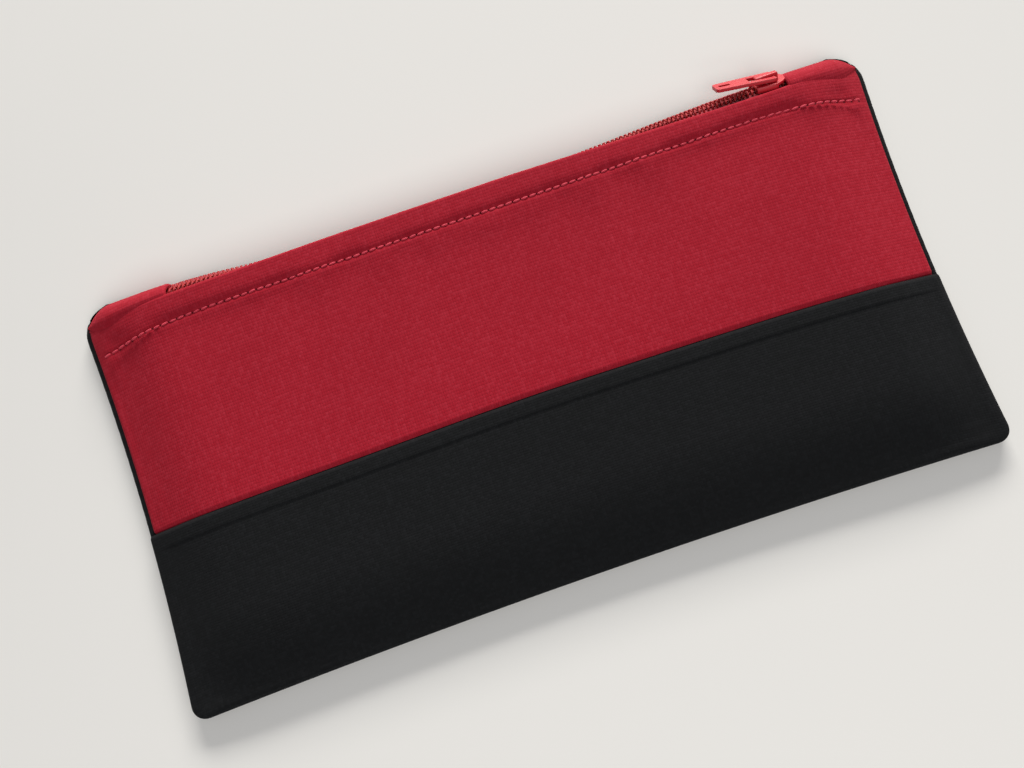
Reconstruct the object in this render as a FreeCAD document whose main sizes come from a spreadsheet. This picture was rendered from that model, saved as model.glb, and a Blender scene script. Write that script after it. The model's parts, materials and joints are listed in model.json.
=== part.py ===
import FreeCAD, Part
import math
import os
import Sketcher
from FreeCAD import Placement, Rotation, Vector

# A flat zip pencil case lying on its back wall. X runs along the case, Y from the bottom seam
# to the zip and Z up from the table. The origin is on the flat underside.

os.makedirs("parts", exist_ok=True)
doc = FreeCAD.newDocument("pencil_case")
sheet = doc.addObject("Spreadsheet::Sheet", "Sizes")

# name, value in mm (or degrees), what it is
sizeRows = [
    ("half_length", 114.8, "middle of the case to a side seam, at the corners"),
    ("bottom_y", -57.2, "bottom seam, at the corners"),
    ("side_bow", 2.4, "how far each side seam curves in"),
    ("bottom_bow", 2.4, "how far the bottom seam curves in"),
    ("top_corner", 9, "radius of the corners beside the zip"),
    ("bottom_corner", 4.5, "radius of the bottom corners"),
    ("case_height", 10, "top of the front wall above the table"),
    ("seam_height", 2.4, "side and bottom seams above the table"),
    ("wall_gap", 0.3, "front wall to back wall at those seams"),
    ("canvas", 0.9, "thickness of the outer canvas"),
    ("lining", 0.4, "thickness of the lining"),
    ("layer_gap", 0.45, "canvas to lining"),
    ("lining_inset", 4, "edge of the canvas to the edge of the lining"),
    ("lining_corner", 9, "radius of the lining's corners"),
    ("puff_side", 25, "width of the front wall's rounded margin at the sides"),
    ("puff_bottom", 27, "width of the front wall's rounded margin at the bottom"),
    ("back_margin", 10, "width of the back wall's raised margin"),
    ("hem_rise", 1, "how far the back wall's zip edge curls up"),
    ("hem_width", 14, "width of that curl"),
    ("rest_depth", 0.05, "how deep the back wall's canvas is pressed flat by the table"),
    ("upper_inset", 1.2, "edge of the lower front panel to the edge of the upper one"),
    ("seam_y", -4.9, "seam between the front panels, at the middle"),
    ("seam_drop_left", 2, "how much lower that seam meets the left side seam"),
    ("seam_drop_right", 4, "how much lower that seam meets the right side seam"),
    ("chain_y", 54.8, "middle of the zip chain"),
    ("zip_roll", 45, "angle between the zip and the table"),
    ("fold_reach", 4.3, "middle of the chain to the front wall's folded edge"),
    ("back_reach", 5, "middle of the chain to the back wall's folded edge"),
    ("chain_left", 87, "middle of the case to the left end of the chain"),
    ("chain_right", 92.2, "middle of the case to the right end of the chain"),
    ("tape", 0.3, "thickness of a zip tape"),
    ("tape_depth", 0.2, "middle of the chain down to the face of the tapes"),
    ("tape_edge", 1.1, "middle of the chain to the edge of a tape"),
    ("tape_tail", 7.5, "width of tape sewn into a wall"),
    ("tape_overrun", 2.2, "length of tape beyond each end of the chain"),
    ("coil_gap", 0.15, "middle of the chain to a coil"),
    ("coil_width", 1.8, "width of a coil"),
    ("coil_height", 1, "thickness of a coil"),
    ("coil_part", 0.9, "how far a coil steps aside to pass the slider's post"),
    ("part_run", 1.8, "length of chain over which the coils part"),
    ("stop_length", 1.6, "length of a stop along the zip"),
    ("stop_width", 0.9, "width of each top stop"),
    ("stop_height", 0.6, "thickness of a stop"),
    ("thread", 0.35, "thickness of sewing thread"),
    ("buried_thread", 0.09, "height of the side and bottom seams' thread above the canvas"),
    ("zip_thread", 0.2, "thickness of the thread that holds a coil to its tape"),
    ("topstitch_inset", 5.1, "folded edge of a wall to its topstitching"),
    ("topstitch_end", 8, "side seam to the end of the topstitching"),
    ("seam_inset", 1.6, "edge of the back wall to the side and bottom seam thread"),
    ("tab_canvas", 0.9, "thickness of an end tab"),
    ("tab_clearance", 0.4, "top of a stop to the end tab over it"),
    ("tab_gap", 0.8, "front wall's folded edge to an end tab"),
    ("tab_lift", 0.6, "rim of an end tab above the front wall"),
    ("tab_reach", 2.3, "middle of the chain to the bend of an end tab"),
    ("slider_length", 9, "length of the slider"),
    ("slider_width", 7.3, "width of the slider's shoulders"),
    ("slider_tail", 5.8, "width of the slider's tail"),
    ("slider_nose", 3.2, "length of the slider's rounded nose"),
    ("slider_end_gap", 1.1, "closed slider to the top stops"),
    ("plate", 0.7, "thickness of the slider's plates"),
    ("flange", 0.5, "thickness of the slider's side flanges"),
    ("running_gap", 0.3, "slider to the coils and tapes inside it"),
    ("post_length", 2.4, "length of the slider's post"),
    ("post_width", 1.3, "width of the slider's post"),
    ("post_inset", 0.5, "tip of the slider's nose to its post"),
    ("crown_length", 6.4, "length of the crown over the slider"),
    ("crown_width", 1.7, "width of the crown"),
    ("crown_wall", 0.6, "thickness of the crown"),
    ("crown_edge", 0.25, "bevel along the crown's edges"),
    ("crown_inset", 0.5, "tail of the slider to the crown"),
    ("pin_radius", 0.5, "radius of the pull tab's pin"),
    ("pin_gap", 0.15, "pin to the slider's plate and to the crown"),
    ("pin_inset", 0.3, "pin to the front leg of the crown"),
    ("spring_length", 2.6, "length of the lock spring"),
    ("spring_width", 1, "width of the lock spring"),
    ("spring", 0.2, "thickness of the lock spring"),
    ("pull_length", 16.6, "length of the pull tab, from its pin"),
    ("pull_head", 5.6, "width of the pull tab's head"),
    ("pull_tail", 4.2, "width of the pull tab's tail"),
    ("pull_thickness", 0.9, "thickness of the pull tab"),
    ("pull_corner", 0.9, "radius of the pull tab's tail corners"),
    ("pull_window", 6.6, "length of the window round the crown"),
    ("window_gap", 0.4, "crown to the sides of that window"),
    ("pull_slot", 3.1, "length of the slot in the tail"),
    ("pull_slot_width", 1.1, "width of that slot"),
    ("pull_slot_inset", 1.3, "end of the tail to that slot"),
    ("pull_lift", 6.5, "angle between the resting pull tab and the zip"),
]
for row, (name, value, note) in enumerate(sizeRows, start=1):
    sheet.set(f"A{row}", name)
    sheet.set(f"B{row}", str(value))
    sheet.set(f"C{row}", note)
    sheet.setAlias(f"B{row}", name)
doc.recompute()


def size(name):
    return float(sheet.get(name))


subparts = []


def subpart(thing, label):
    thing.Label = label
    subparts.append(thing)
    return thing


def bind(thing, formulas):
    for path, formula in formulas.items():
        thing.setExpression(path, formula)
    return thing


def feature(name, shape):
    made = doc.addObject("Part::Feature", name)
    made.Shape = shape
    return made


def boolean(kind, name, first, second):
    made = doc.addObject(f"Part::{kind}", name)
    made.Base = first
    made.Tool = second
    return made


def thicken(name, face, along, thickness):
    """A solid of the given thickness, swept from a face."""
    made = doc.addObject("Part::Extrusion", name)
    made.Base = face
    made.DirMode = "Custom"
    made.Dir = along
    made.Solid = True
    return bind(made, {"LengthFwd": thickness})


def box(name, lows, lengths):
    made = doc.addObject("Part::Box", name)
    bind(made, dict(zip(("Length", "Width", "Height"), lengths)))
    return bind(made, {f"Placement.Base.{axis}": low for axis, low in zip("xyz", lows)})


# The walls are sheets swept from curved faces and trimmed to the case's outline.

tall = 60.0  # half the height of the solids that trim the case, well over its own
gridPitch = 2.5  # spacing of the points that the curved faces pass through
tabStations = 13  # sections that an end tab is lofted through
overrun = 1.0  # how far a pocket's sketch runs past the solid it cuts
halfLength = size("half_length")
bottomY = size("bottom_y")
canvas = size("canvas")
roll = math.radians(size("zip_roll"))
across = Vector(0, math.cos(roll), -math.sin(roll))
outward = Vector(0, math.sin(roll), math.cos(roll))
tapeMiddle = outward * (size("tape_depth") + size("tape") / 2)
frontHem = size("case_height") - canvas - size("layer_gap") / 2
chain = Vector(0, size("chain_y"), frontHem + across.z * size("fold_reach") + tapeMiddle.z)
frontFoldY = (chain - across * size("fold_reach") - tapeMiddle).y
backFoldY = (chain + across * size("back_reach") - tapeMiddle).y
frontEdgeTop = size("seam_height") + size("wall_gap") / 2 + canvas
backEdgeBottom = size("seam_height") - size("wall_gap") / 2 - canvas


def sideEdge(y):
    """Half of the case's length at y, between its bowed side seams."""
    middle = (bottomY + backFoldY) / 2
    reach = (backFoldY - bottomY) / 2
    return halfLength - size("side_bow") * (1 - ((y - middle) / reach) ** 2)


def bottomEdge(x):
    return bottomY + size("bottom_bow") * (1 - (x / halfLength) ** 2)


def margin(distance, width):
    """0 at a seam, and 1 from the width of its rounded margin on."""
    return 1 - (1 - min(distance / width, 1.0)) ** 2


def frontTop(x, y):
    sides = margin(sideEdge(y) - abs(x), size("puff_side"))
    below = margin(y - bottomEdge(x), size("puff_bottom"))
    return frontEdgeTop + (size("case_height") - frontEdgeTop) * sides * below


def backBottom(x, y):
    sides = margin(sideEdge(y) - abs(x), size("back_margin"))
    below = margin(y - bottomEdge(x), size("back_margin"))
    curl = max(0.0, 1 - (backFoldY - y) / size("hem_width"))
    rise = backEdgeBottom * (1 - sides * below) + size("hem_rise") * curl**2
    return rise - size("rest_depth")


def gridLine(reach):
    """Evenly spaced places from -reach to reach, one of them in the middle."""
    count = math.ceil(reach / gridPitch)
    return [reach * i / count for i in range(-count, count + 1)]


def curvedFace(name, height):
    """A smooth face over the case's plan and a little more, at height(x, y)."""
    xs = gridLine(halfLength + 2 * gridPitch)
    ys = gridLine(max(-bottomY, backFoldY) + 2 * gridPitch)
    surface = Part.BSplineSurface()
    surface.interpolate([[Vector(x, y, height(x, y)) for y in ys] for x in xs])
    return feature(name, surface.toShape())


def trimmer(name, inset, corners, sideInset=0.0):
    """A tall solid with the case's outline in plan, smaller by an inset."""
    reach = halfLength - inset - sideInset
    waist = reach - size("side_bow")
    low = bottomY + inset
    high = backFoldY - inset
    middle = (low + high) / 2
    plan = ((-reach, low), (reach, low), (reach, high), (-reach, high))
    points = [Vector(x, y, -tall) for x, y in plan]
    outline = Part.Wire(
        [
            Part.Arc(points[0], Vector(0, low + size("bottom_bow"), -tall), points[1]).toShape(),
            Part.Arc(points[1], Vector(waist, middle, -tall), points[2]).toShape(),
            Part.LineSegment(points[2], points[3]).toShape(),
            Part.Arc(points[3], Vector(-waist, middle, -tall), points[0]).toShape(),
        ]
    )
    solid = Part.Face(outline).extrude(Vector(0, 0, 2 * tall))
    for radius, y in zip(corners, (low, high)):
        upright = [
            edge
            for edge in solid.Edges
            if abs(edge.Length - 2 * tall) < 0.01 and abs(edge.CenterOfMass.y - y) < 0.01
        ]
        solid = solid.makeFillet(radius, upright)
    return feature(name, solid)


def seamRegion(name, lift):
    """Everything above the seam between the front panels, moved up by lift."""
    reach = 2 * halfLength
    dropLeft, dropRight = size("seam_drop_left"), size("seam_drop_right")
    left = Vector(-halfLength, size("seam_y") - dropLeft + lift, -tall)
    right = Vector(halfLength, size("seam_y") - dropRight + lift, -tall)
    arc = Part.Arc(left, Vector(0, size("seam_y") + lift, -tall), right)
    outer = [Vector(halfLength, reach, -tall), Vector(-halfLength, reach, -tall)]
    rest = Part.makePolygon([right, *outer, left])
    region = Part.Face(Part.Wire([arc.toShape(), *rest.Edges]))
    return feature(name, region.extrude(Vector(0, 0, 2 * tall)))


up = Vector(0, 0, 1)
down = Vector(0, 0, -1)
backFace = curvedFace("BackFace", backBottom)
frontFace = curvedFace("FrontFace", frontTop)
corners = (size("bottom_corner"), size("top_corner"))
liningCorners = (size("lining_corner"), size("lining_corner"))
caseTrimmer = trimmer("CaseTrimmer", 0.0, corners)
upperTrimmer = trimmer("UpperTrimmer", 0.0, corners, size("upper_inset"))
liningTrimmer = trimmer("LiningTrimmer", size("lining_inset"), liningCorners)
threadTrimmer = trimmer("ThreadTrimmer", size("seam_inset"), corners)
innerTrimmer = trimmer("InnerTrimmer", size("seam_inset") + size("thread"), corners)
aboveSeam = seamRegion("AboveSeam", 0.0)

farLeft = "(-2 * Sizes.half_length)"
fullWidth = "4 * Sizes.half_length"


def strip(name, low, width, left=farLeft, length=fullWidth):
    """A tall box over the plan, from y = low, for cutting a strip out of a wall."""
    return box(name, (left, low, str(-tall)), (length, width, str(2 * tall)))


def foldedEdge(reach):
    """A formula for where a wall folds, at a reach across the zip from the middle of the chain."""
    middleOfTape = "(Sizes.tape_depth + Sizes.tape / 2)"
    return f"(Sizes.chain_y + {reach} * cos(Sizes.zip_roll) - {middleOfTape} * sin(Sizes.zip_roll))"


foldY = foldedEdge("-Sizes.fold_reach")
backY = foldedEdge("Sizes.back_reach")

# --- back wall ---------------------------------------------------------------------------------

backCloth = thicken("BackCloth", backFace, up, "Sizes.canvas")
backSheet = boolean("Common", "BackSheet", backCloth, caseTrimmer)
table = box("Table", (farLeft, farLeft, str(-tall)), (fullWidth, fullWidth, str(tall)))
subpart(boolean("Cut", "BackPanel", backSheet, table), "back_panel")

backLiningCloth = thicken("BackLiningCloth", backFace, up, "Sizes.lining")
bind(backLiningCloth, {"Placement.Base.z": "Sizes.canvas + Sizes.layer_gap"})
subpart(boolean("Common", "BackLining", backLiningCloth, liningTrimmer), "back_lining")

# --- front wall --------------------------------------------------------------------------------

frontCloth = thicken("FrontCloth", frontFace, down, "Sizes.canvas")
frontReach = strip("FrontReach", farLeft, f"{foldY} - {farLeft}")
frontSheet = boolean("Common", "FrontSheet", frontCloth, frontReach)
frontWhole = boolean("Common", "FrontWhole", frontSheet, caseTrimmer)
subpart(boolean("Cut", "LowerPanel", frontWhole, aboveSeam), "front_lower_panel")
frontNarrow = boolean("Common", "FrontNarrow", frontSheet, upperTrimmer)
subpart(boolean("Common", "UpperPanel", frontNarrow, aboveSeam), "front_upper_panel")

frontLiningCloth = thicken("FrontLiningCloth", frontFace, down, "Sizes.lining")
bind(frontLiningCloth, {"Placement.Base.z": "-Sizes.canvas - Sizes.layer_gap"})
liningReach = strip("LiningReach", farLeft, f"{foldY} - Sizes.canvas - {farLeft}")
frontLiningSheet = boolean("Common", "FrontLiningSheet", frontLiningCloth, liningReach)
subpart(boolean("Common", "FrontLining", frontLiningSheet, liningTrimmer), "front_lining")

# --- thread --------------------------------------------------------------------------------------

stitchStart = "-(Sizes.half_length - Sizes.topstitch_end)"
stitchRun = "2 * (Sizes.half_length - Sizes.topstitch_end)"
stitchLow = f"{foldY} - Sizes.topstitch_inset - Sizes.thread / 2"
backStitchLow = f"{backY} - Sizes.topstitch_inset - Sizes.thread / 2"
frontThread = thicken("FrontThread", frontFace, up, "Sizes.thread")
frontStitchStrip = strip("FrontStitchStrip", stitchLow, "Sizes.thread", stitchStart, stitchRun)
subpart(boolean("Common", "FrontTopstitch", frontThread, frontStitchStrip), "front_topstitching")
backThread = thicken("BackThread", backFace, down, "Sizes.thread")
backStitchStrip = strip("BackStitchStrip", backStitchLow, "Sizes.thread", stitchStart, stitchRun)
subpart(boolean("Common", "BackTopstitch", backThread, backStitchStrip), "back_topstitching")

# The panels' seam is sewn under the canvas, just below the line where the panels meet.
seamThread = thicken("SeamThread", frontFace, down, "Sizes.thread")
bind(seamThread, {"Placement.Base.z": "-Sizes.canvas"})
belowBand = seamRegion("BelowBand", -size("seam_inset"))
bandTop = seamRegion("BandTop", size("thread") - size("seam_inset"))
seamBand = boolean("Cut", "SeamBand", belowBand, bandTop)
seamStrip = boolean("Common", "SeamStrip", seamThread, seamBand)
subpart(boolean("Common", "PanelSeam", seamStrip, threadTrimmer), "panel_seam_thread")

# The side and bottom seams' thread lies on the back wall, inside the case.
edgeThread = thicken("EdgeThread", backFace, up, "Sizes.buried_thread")
bind(edgeThread, {"Placement.Base.z": "Sizes.canvas"})
edgeBand = boolean("Cut", "EdgeBand", threadTrimmer, innerTrimmer)
edgeLoop = boolean("Common", "EdgeLoop", edgeThread, edgeBand)
zipSide = strip("ZipSide", f"{backY} - Sizes.top_corner", "4 * Sizes.half_length")
subpart(boolean("Cut", "EdgeSeam", edgeLoop, zipSide), "side_and_bottom_seam_thread")

# --- zip -----------------------------------------------------------------------------------------
# The zip's own frame has X along the chain, Y across it and Z out of its face.

chainZ = (
    "(Sizes.case_height - Sizes.canvas - Sizes.layer_gap / 2"
    " - Sizes.fold_reach * sin(Sizes.zip_roll)"
    " + (Sizes.tape_depth + Sizes.tape / 2) * cos(Sizes.zip_roll))"
)
closedX = "(Sizes.chain_right - Sizes.slider_end_gap - Sizes.slider_length / 2)"


def onZip(thing, x="0", acrossZip="0", outOfZip="0"):
    """Places a piece drawn in the zip's own frame, moved by the three distances."""
    thing.Placement = Placement(Vector(), Rotation(Vector(1, 0, 0), -1))
    return bind(
        thing,
        {
            "Placement.Base.x": x,
            "Placement.Base.y": (
                f"Sizes.chain_y + {acrossZip} * cos(Sizes.zip_roll) + {outOfZip} * sin(Sizes.zip_roll)"
            ),
            "Placement.Base.z": (
                f"{chainZ} - {acrossZip} * sin(Sizes.zip_roll) + {outOfZip} * cos(Sizes.zip_roll)"
            ),
            "Placement.Rotation.Angle": "-Sizes.zip_roll",
        },
    )


def zipBox(name, corner, lengths):
    made = doc.addObject("Part::Box", name)
    bind(made, dict(zip(("Length", "Width", "Height"), lengths)))
    return onZip(made, *corner)


tapeStart = "-(Sizes.chain_left + Sizes.tape_overrun)"
tapeRun = "(Sizes.chain_left + Sizes.chain_right + 2 * Sizes.tape_overrun)"
tapeFloor = "(-Sizes.tape_depth - Sizes.tape)"
frontWidth = "(Sizes.fold_reach - Sizes.tape_edge)"
backWidth = "(Sizes.back_reach - Sizes.tape_edge)"
coilSide = "(Sizes.coil_gap + Sizes.coil_width)"

frontCorner = (tapeStart, "(-Sizes.fold_reach)", tapeFloor)
frontStrip = zipBox("FrontStrip", frontCorner, (tapeRun, frontWidth, "Sizes.tape"))
frontTailCloth = thicken("FrontTailCloth", frontFace, down, "Sizes.tape")
bind(frontTailCloth, {"Placement.Base.z": "-Sizes.canvas - (Sizes.layer_gap - Sizes.tape) / 2"})
frontTailLow = f"{foldY} - Sizes.tape_tail"
frontTailWidth = "Sizes.tape_tail + Sizes.tape / 2"
frontTailStrip = strip("FrontTailStrip", frontTailLow, frontTailWidth, tapeStart, tapeRun)
frontTail = boolean("Common", "FrontTail", frontTailCloth, frontTailStrip)
subpart(boolean("Fuse", "FrontTape", frontStrip, frontTail), "front_zip_tape")

backCorner = (tapeStart, "Sizes.tape_edge", tapeFloor)
backStrip = zipBox("BackStrip", backCorner, (tapeRun, backWidth, "Sizes.tape"))
backTailCloth = thicken("BackTailCloth", backFace, up, "Sizes.tape")
bind(backTailCloth, {"Placement.Base.z": "Sizes.canvas + (Sizes.layer_gap - Sizes.tape) / 2"})
backTailLow = f"{backY} - Sizes.tape_tail"
backTailStrip = strip("BackTailStrip", backTailLow, "Sizes.tape_tail", tapeStart, tapeRun)
backTail = boolean("Common", "BackTail", backTailCloth, backTailStrip)
subpart(boolean("Fuse", "BackTape", backStrip, backTail), "back_zip_tape")

closedMiddle = size("chain_right") - size("slider_end_gap") - size("slider_length") / 2
noseTip = closedMiddle + size("slider_length") / 2
postBack = noseTip - size("post_inset") - size("post_length")
for side, word in ((-1, "front"), (1, "back")):
    near = side * size("coil_gap")
    far = near + side * size("coil_width")
    aside = side * size("coil_part")
    partX = postBack - size("part_run")
    corners = [
        (-size("chain_left"), near),
        (partX, near),
        (postBack, near + aside),
        (size("chain_right"), near + aside),
        (size("chain_right"), far + aside),
        (postBack, far + aside),
        (partX, far),
        (-size("chain_left"), far),
    ]
    points = [Vector(x, y, -size("tape_depth")) for x, y in corners]
    outline = feature(f"{word}CoilOutline", Part.Face(Part.makePolygon([*points, points[0]])))
    coil = thicken(f"{word}Coil", outline, up, "Sizes.coil_height")
    subpart(onZip(coil), f"{word}_coil")
    sewnAt = f"({coilSide})" if side > 0 else f"(-{coilSide} - Sizes.thread)"
    sewn = zipBox(f"{word}CoilThread", ("-Sizes.chain_left", sewnAt, "-Sizes.tape_depth"),
                  (f"Sizes.chain_left + {partX}", "Sizes.thread", "Sizes.zip_thread"))
    subpart(sewn, f"{word}_coil_stitching")

stopFloor = "-Sizes.tape_depth"
subpart(zipBox("BottomStop", ("-Sizes.chain_left - Sizes.stop_length", f"(-{coilSide})", stopFloor),
               ("Sizes.stop_length", f"2 * {coilSide}", "Sizes.stop_height")), "bottom_stop")
topStops = [
    zipBox(f"TopStop{word}", ("Sizes.chain_right", y, stopFloor),
           ("Sizes.stop_length", "Sizes.stop_width", "Sizes.stop_height"))
    for word, y in (
        ("Front", "(-Sizes.coil_gap - Sizes.coil_part - Sizes.stop_width)"),
        ("Back", "(Sizes.coil_gap + Sizes.coil_part)"),
    )
]
stops = doc.addObject("Part::Compound", "TopStops")
stops.Links = topStops
subpart(stops, "top_stops")

# --- end tabs: canvas folded over each end of the zip ----------------------------------------------

tabCanvas = size("tab_canvas")
tabUnder = size("stop_height") - size("tape_depth") + size("tab_clearance")
tabBend = chain + across * size("tab_reach") + outward * (tabUnder + tabCanvas)


def tabHeight(top, x):
    """A rim's height at x, falling from top towards the side seam as the front wall does."""
    fall = (size("case_height") - frontTop(x, frontFoldY)) / (size("case_height") - frontEdgeTop)
    return top - fall * (top - frontEdgeTop)


rims = [
    # across the case, height at the zip's end, way in through the canvas
    (frontFoldY + size("tab_gap"), size("case_height") + size("tab_lift"), outward),
    (tabBend.y, tabBend.z, outward + Vector(0, 1 - outward.y, 0) / 2),
    (backFoldY, size("seam_height") + canvas, Vector(0, 1, 0)),
]
for side, word, innerX in ((-1, "left", -size("chain_left")), (1, "right", size("chain_right"))):
    sections = []
    for station in range(tabStations):
        x = innerX + (side * halfLength - innerX) * station / (tabStations - 1)
        outer = [Vector(x, y, tabHeight(top, x)) for y, top, _ in rims]
        inner = [point - way * tabCanvas for point, (_, _, way) in zip(outer, rims)]
        ring = [*outer, *reversed(inner)]
        sections.append(Part.makePolygon([*ring, ring[0]]))
    folded = feature(f"{word}TabFold", Part.makeLoft(sections, True, True))
    subpart(boolean("Common", f"{word}Tab", folded, caseTrimmer), f"{word}_end_tab")

# --- slider ----------------------------------------------------------------------------------------
# Drawn about its own middle, with its rounded nose towards the closed end of the zip.


def originPlane(body, role):
    return next(item for item in body.Origin.OriginFeatures if item.Role == role)


def newSketch(body, name, height):
    sketch = body.newObject("Sketcher::SketchObject", name)
    sketch.AttachmentSupport = (originPlane(body, "XY_Plane"), "")
    sketch.MapMode = "FlatFace"
    return bind(sketch, {"AttachmentOffset.Base.z": height})


def pad(body, name, sketch, length):
    made = body.newObject("PartDesign::Pad", name)
    made.Profile = sketch
    return bind(made, {"Length": length})


def pocket(body, name, sketch, length):
    made = body.newObject("PartDesign::Pocket", name)
    made.Profile = sketch
    made.Reversed = True
    return bind(made, {"Length": length})


def driven(sketch, kind, *where, by):
    """A sketch constraint whose value comes from the sheet."""
    index = sketch.addConstraint(Sketcher.Constraint(kind, *where, 1.0))
    sketch.setExpression(f"Constraints[{index}]", by)


def closeLoop(sketch, count):
    for line in range(count):
        sketch.addConstraint(Sketcher.Constraint("Coincident", line, 2, (line + 1) % count, 1))


def trapezoid(sketch, left, right, leftWidth, rightWidth):
    """A four-sided outline, even about the X axis, with upright ends at left and right."""
    first, last = size("slider_length") / 2, size("slider_width") / 2
    plan = ((-first, -last), (first, -last), (first, last), (-first, last))
    corners = [Vector(x, y, 0) for x, y in plan]
    for start, end in zip(corners, corners[1:] + corners[:1]):
        sketch.addGeometry(Part.LineSegment(start, end))
    closeLoop(sketch, 4)
    sketch.addConstraint(Sketcher.Constraint("Symmetric", 1, 1, 1, 2, -1))
    sketch.addConstraint(Sketcher.Constraint("Symmetric", 3, 1, 3, 2, -1))
    driven(sketch, "Distance", 1, by=rightWidth)
    driven(sketch, "Distance", 3, by=leftWidth)
    driven(sketch, "DistanceX", -1, 1, 1, 1, by=right)
    driven(sketch, "DistanceX", -1, 1, 3, 1, by=left)


def sliderOutline(sketch):
    """A square tail that widens to the shoulders, and a round nose."""
    half = size("slider_length") / 2
    shoulder = half - size("slider_nose")
    wide, narrow = size("slider_width") / 2, size("slider_tail") / 2
    nose = Part.Arc(Vector(shoulder, -wide, 0), Vector(half, 0, 0), Vector(shoulder, wide, 0))
    sketch.addGeometry(Part.LineSegment(Vector(-half, -narrow, 0), Vector(shoulder, -wide, 0)))
    sketch.addGeometry(nose)
    sketch.addGeometry(Part.LineSegment(Vector(shoulder, wide, 0), Vector(-half, narrow, 0)))
    sketch.addGeometry(Part.LineSegment(Vector(-half, narrow, 0), Vector(-half, -narrow, 0)))
    closeLoop(sketch, 4)
    sketch.addConstraint(Sketcher.Constraint("Symmetric", 1, 1, 1, 2, -1))
    sketch.addConstraint(Sketcher.Constraint("Symmetric", 3, 1, 3, 2, -1))
    driven(sketch, "Distance", 3, by="Sizes.slider_tail")
    driven(sketch, "DistanceY", 1, 1, 1, 2, by="Sizes.slider_width")
    driven(sketch, "DistanceX", 3, 2, -1, 1, by="Sizes.slider_length / 2")
    driven(sketch, "DistanceX", 3, 2, 1, 2, by="Sizes.slider_length - Sizes.slider_nose")
    bulge = "((Sizes.slider_width / 2) ^ 2 + Sizes.slider_nose ^ 2) / (2 * Sizes.slider_nose)"
    driven(sketch, "Radius", 1, by=bulge)


lowerFace = "(-Sizes.tape_depth - Sizes.tape - Sizes.running_gap)"
flangeFoot = "(-Sizes.tape_depth + Sizes.running_gap)"
upperFace = "(-Sizes.tape_depth + Sizes.coil_height + Sizes.running_gap)"
plateTop = f"({upperFace} + Sizes.plate)"
sliderFront = "(Sizes.slider_length / 2)"

slider = doc.addObject("PartDesign::Body", "Slider")
lowerSketch = newSketch(slider, "LowerPlateSketch", f"{lowerFace} - Sizes.plate")
sliderOutline(lowerSketch)
pad(slider, "LowerPlate", lowerSketch, "Sizes.plate")
upperSketch = newSketch(slider, "UpperPlateSketch", flangeFoot)
sliderOutline(upperSketch)
pad(slider, "UpperPlate", upperSketch, f"{plateTop} - {flangeFoot}")
# The channel leaves the flanges along the slider's sides and is open at its nose.
channelSketch = newSketch(slider, "ChannelSketch", flangeFoot)
channelTail = "Sizes.slider_tail - 2 * Sizes.flange"
channelNose = "Sizes.slider_width - 2 * Sizes.flange"
channelLeft = f"-{sliderFront} - {overrun}"
channelRight = f"{sliderFront} - Sizes.slider_nose"
trapezoid(channelSketch, channelLeft, channelRight, channelTail, channelNose)
pocket(slider, "Channel", channelSketch, f"{upperFace} - {flangeFoot}")
mouthSketch = newSketch(slider, "NoseMouthSketch", flangeFoot)
mouthRight = f"{sliderFront} + {overrun}"
mouthWidth = "2 * Sizes.slider_width"
trapezoid(mouthSketch, channelRight, mouthRight, mouthWidth, mouthWidth)
pocket(slider, "NoseMouth", mouthSketch, f"{upperFace} - {flangeFoot}")
# The post parts the coils and joins the two plates.
postSketch = newSketch(slider, "PostSketch", lowerFace)
postRight = f"({sliderFront} - Sizes.post_inset)"
postLeft = f"{postRight} - Sizes.post_length"
trapezoid(postSketch, postLeft, postRight, "Sizes.post_width", "Sizes.post_width")
pad(slider, "Post", postSketch, f"{upperFace} - {lowerFace}")
subpart(onZip(slider, closedX), "slider_body")

# --- crown and lock spring -------------------------------------------------------------------------

crownRise = "(2 * Sizes.pin_radius + 2 * Sizes.pin_gap)"
crownBack = "(Sizes.crown_inset - Sizes.slider_length / 2)"
crown = doc.addObject("PartDesign::Body", "Crown")
crownSketch = newSketch(crown, "CrownSketch", plateTop)
crownRight = f"{crownBack} + Sizes.crown_length"
trapezoid(crownSketch, crownBack, crownRight, "Sizes.crown_width", "Sizes.crown_width")
bar = pad(crown, "Bar", crownSketch, f"{crownRise} + Sizes.crown_wall")
doc.recompute()
edges = [
    f"Edge{n}"
    for n, edge in enumerate(bar.Shape.Edges, start=1)
    if edge.CenterOfMass.z > bar.Shape.BoundBox.ZMax - 0.01
]
bevel = crown.newObject("PartDesign::Chamfer", "Bevel")
bevel.Base = (bar, edges)
bind(bevel, {"Size": "Sizes.crown_edge"})
archSketch = newSketch(crown, "ArchSketch", plateTop)
archWidth = "2 * Sizes.crown_width"
archLeft = f"{crownBack} + Sizes.crown_wall"
archRight = f"{crownRight} - Sizes.crown_wall"
trapezoid(archSketch, archLeft, archRight, archWidth, archWidth)
pocket(crown, "Arch", archSketch, crownRise)
subpart(onZip(crown, closedX), "slider_crown")

springAt = (f"({closedX} + {crownBack} + Sizes.crown_wall)", "(-Sizes.spring_width / 2)",
            f"({plateTop} + {crownRise} - Sizes.spring)")
springSize = ("Sizes.spring_length", "Sizes.spring_width", "Sizes.spring")
subpart(zipBox("LockSpring", springAt, springSize), "lock_spring")

# --- pull tab: its pin is its end bar, held under the crown -----------------------------------------

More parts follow.
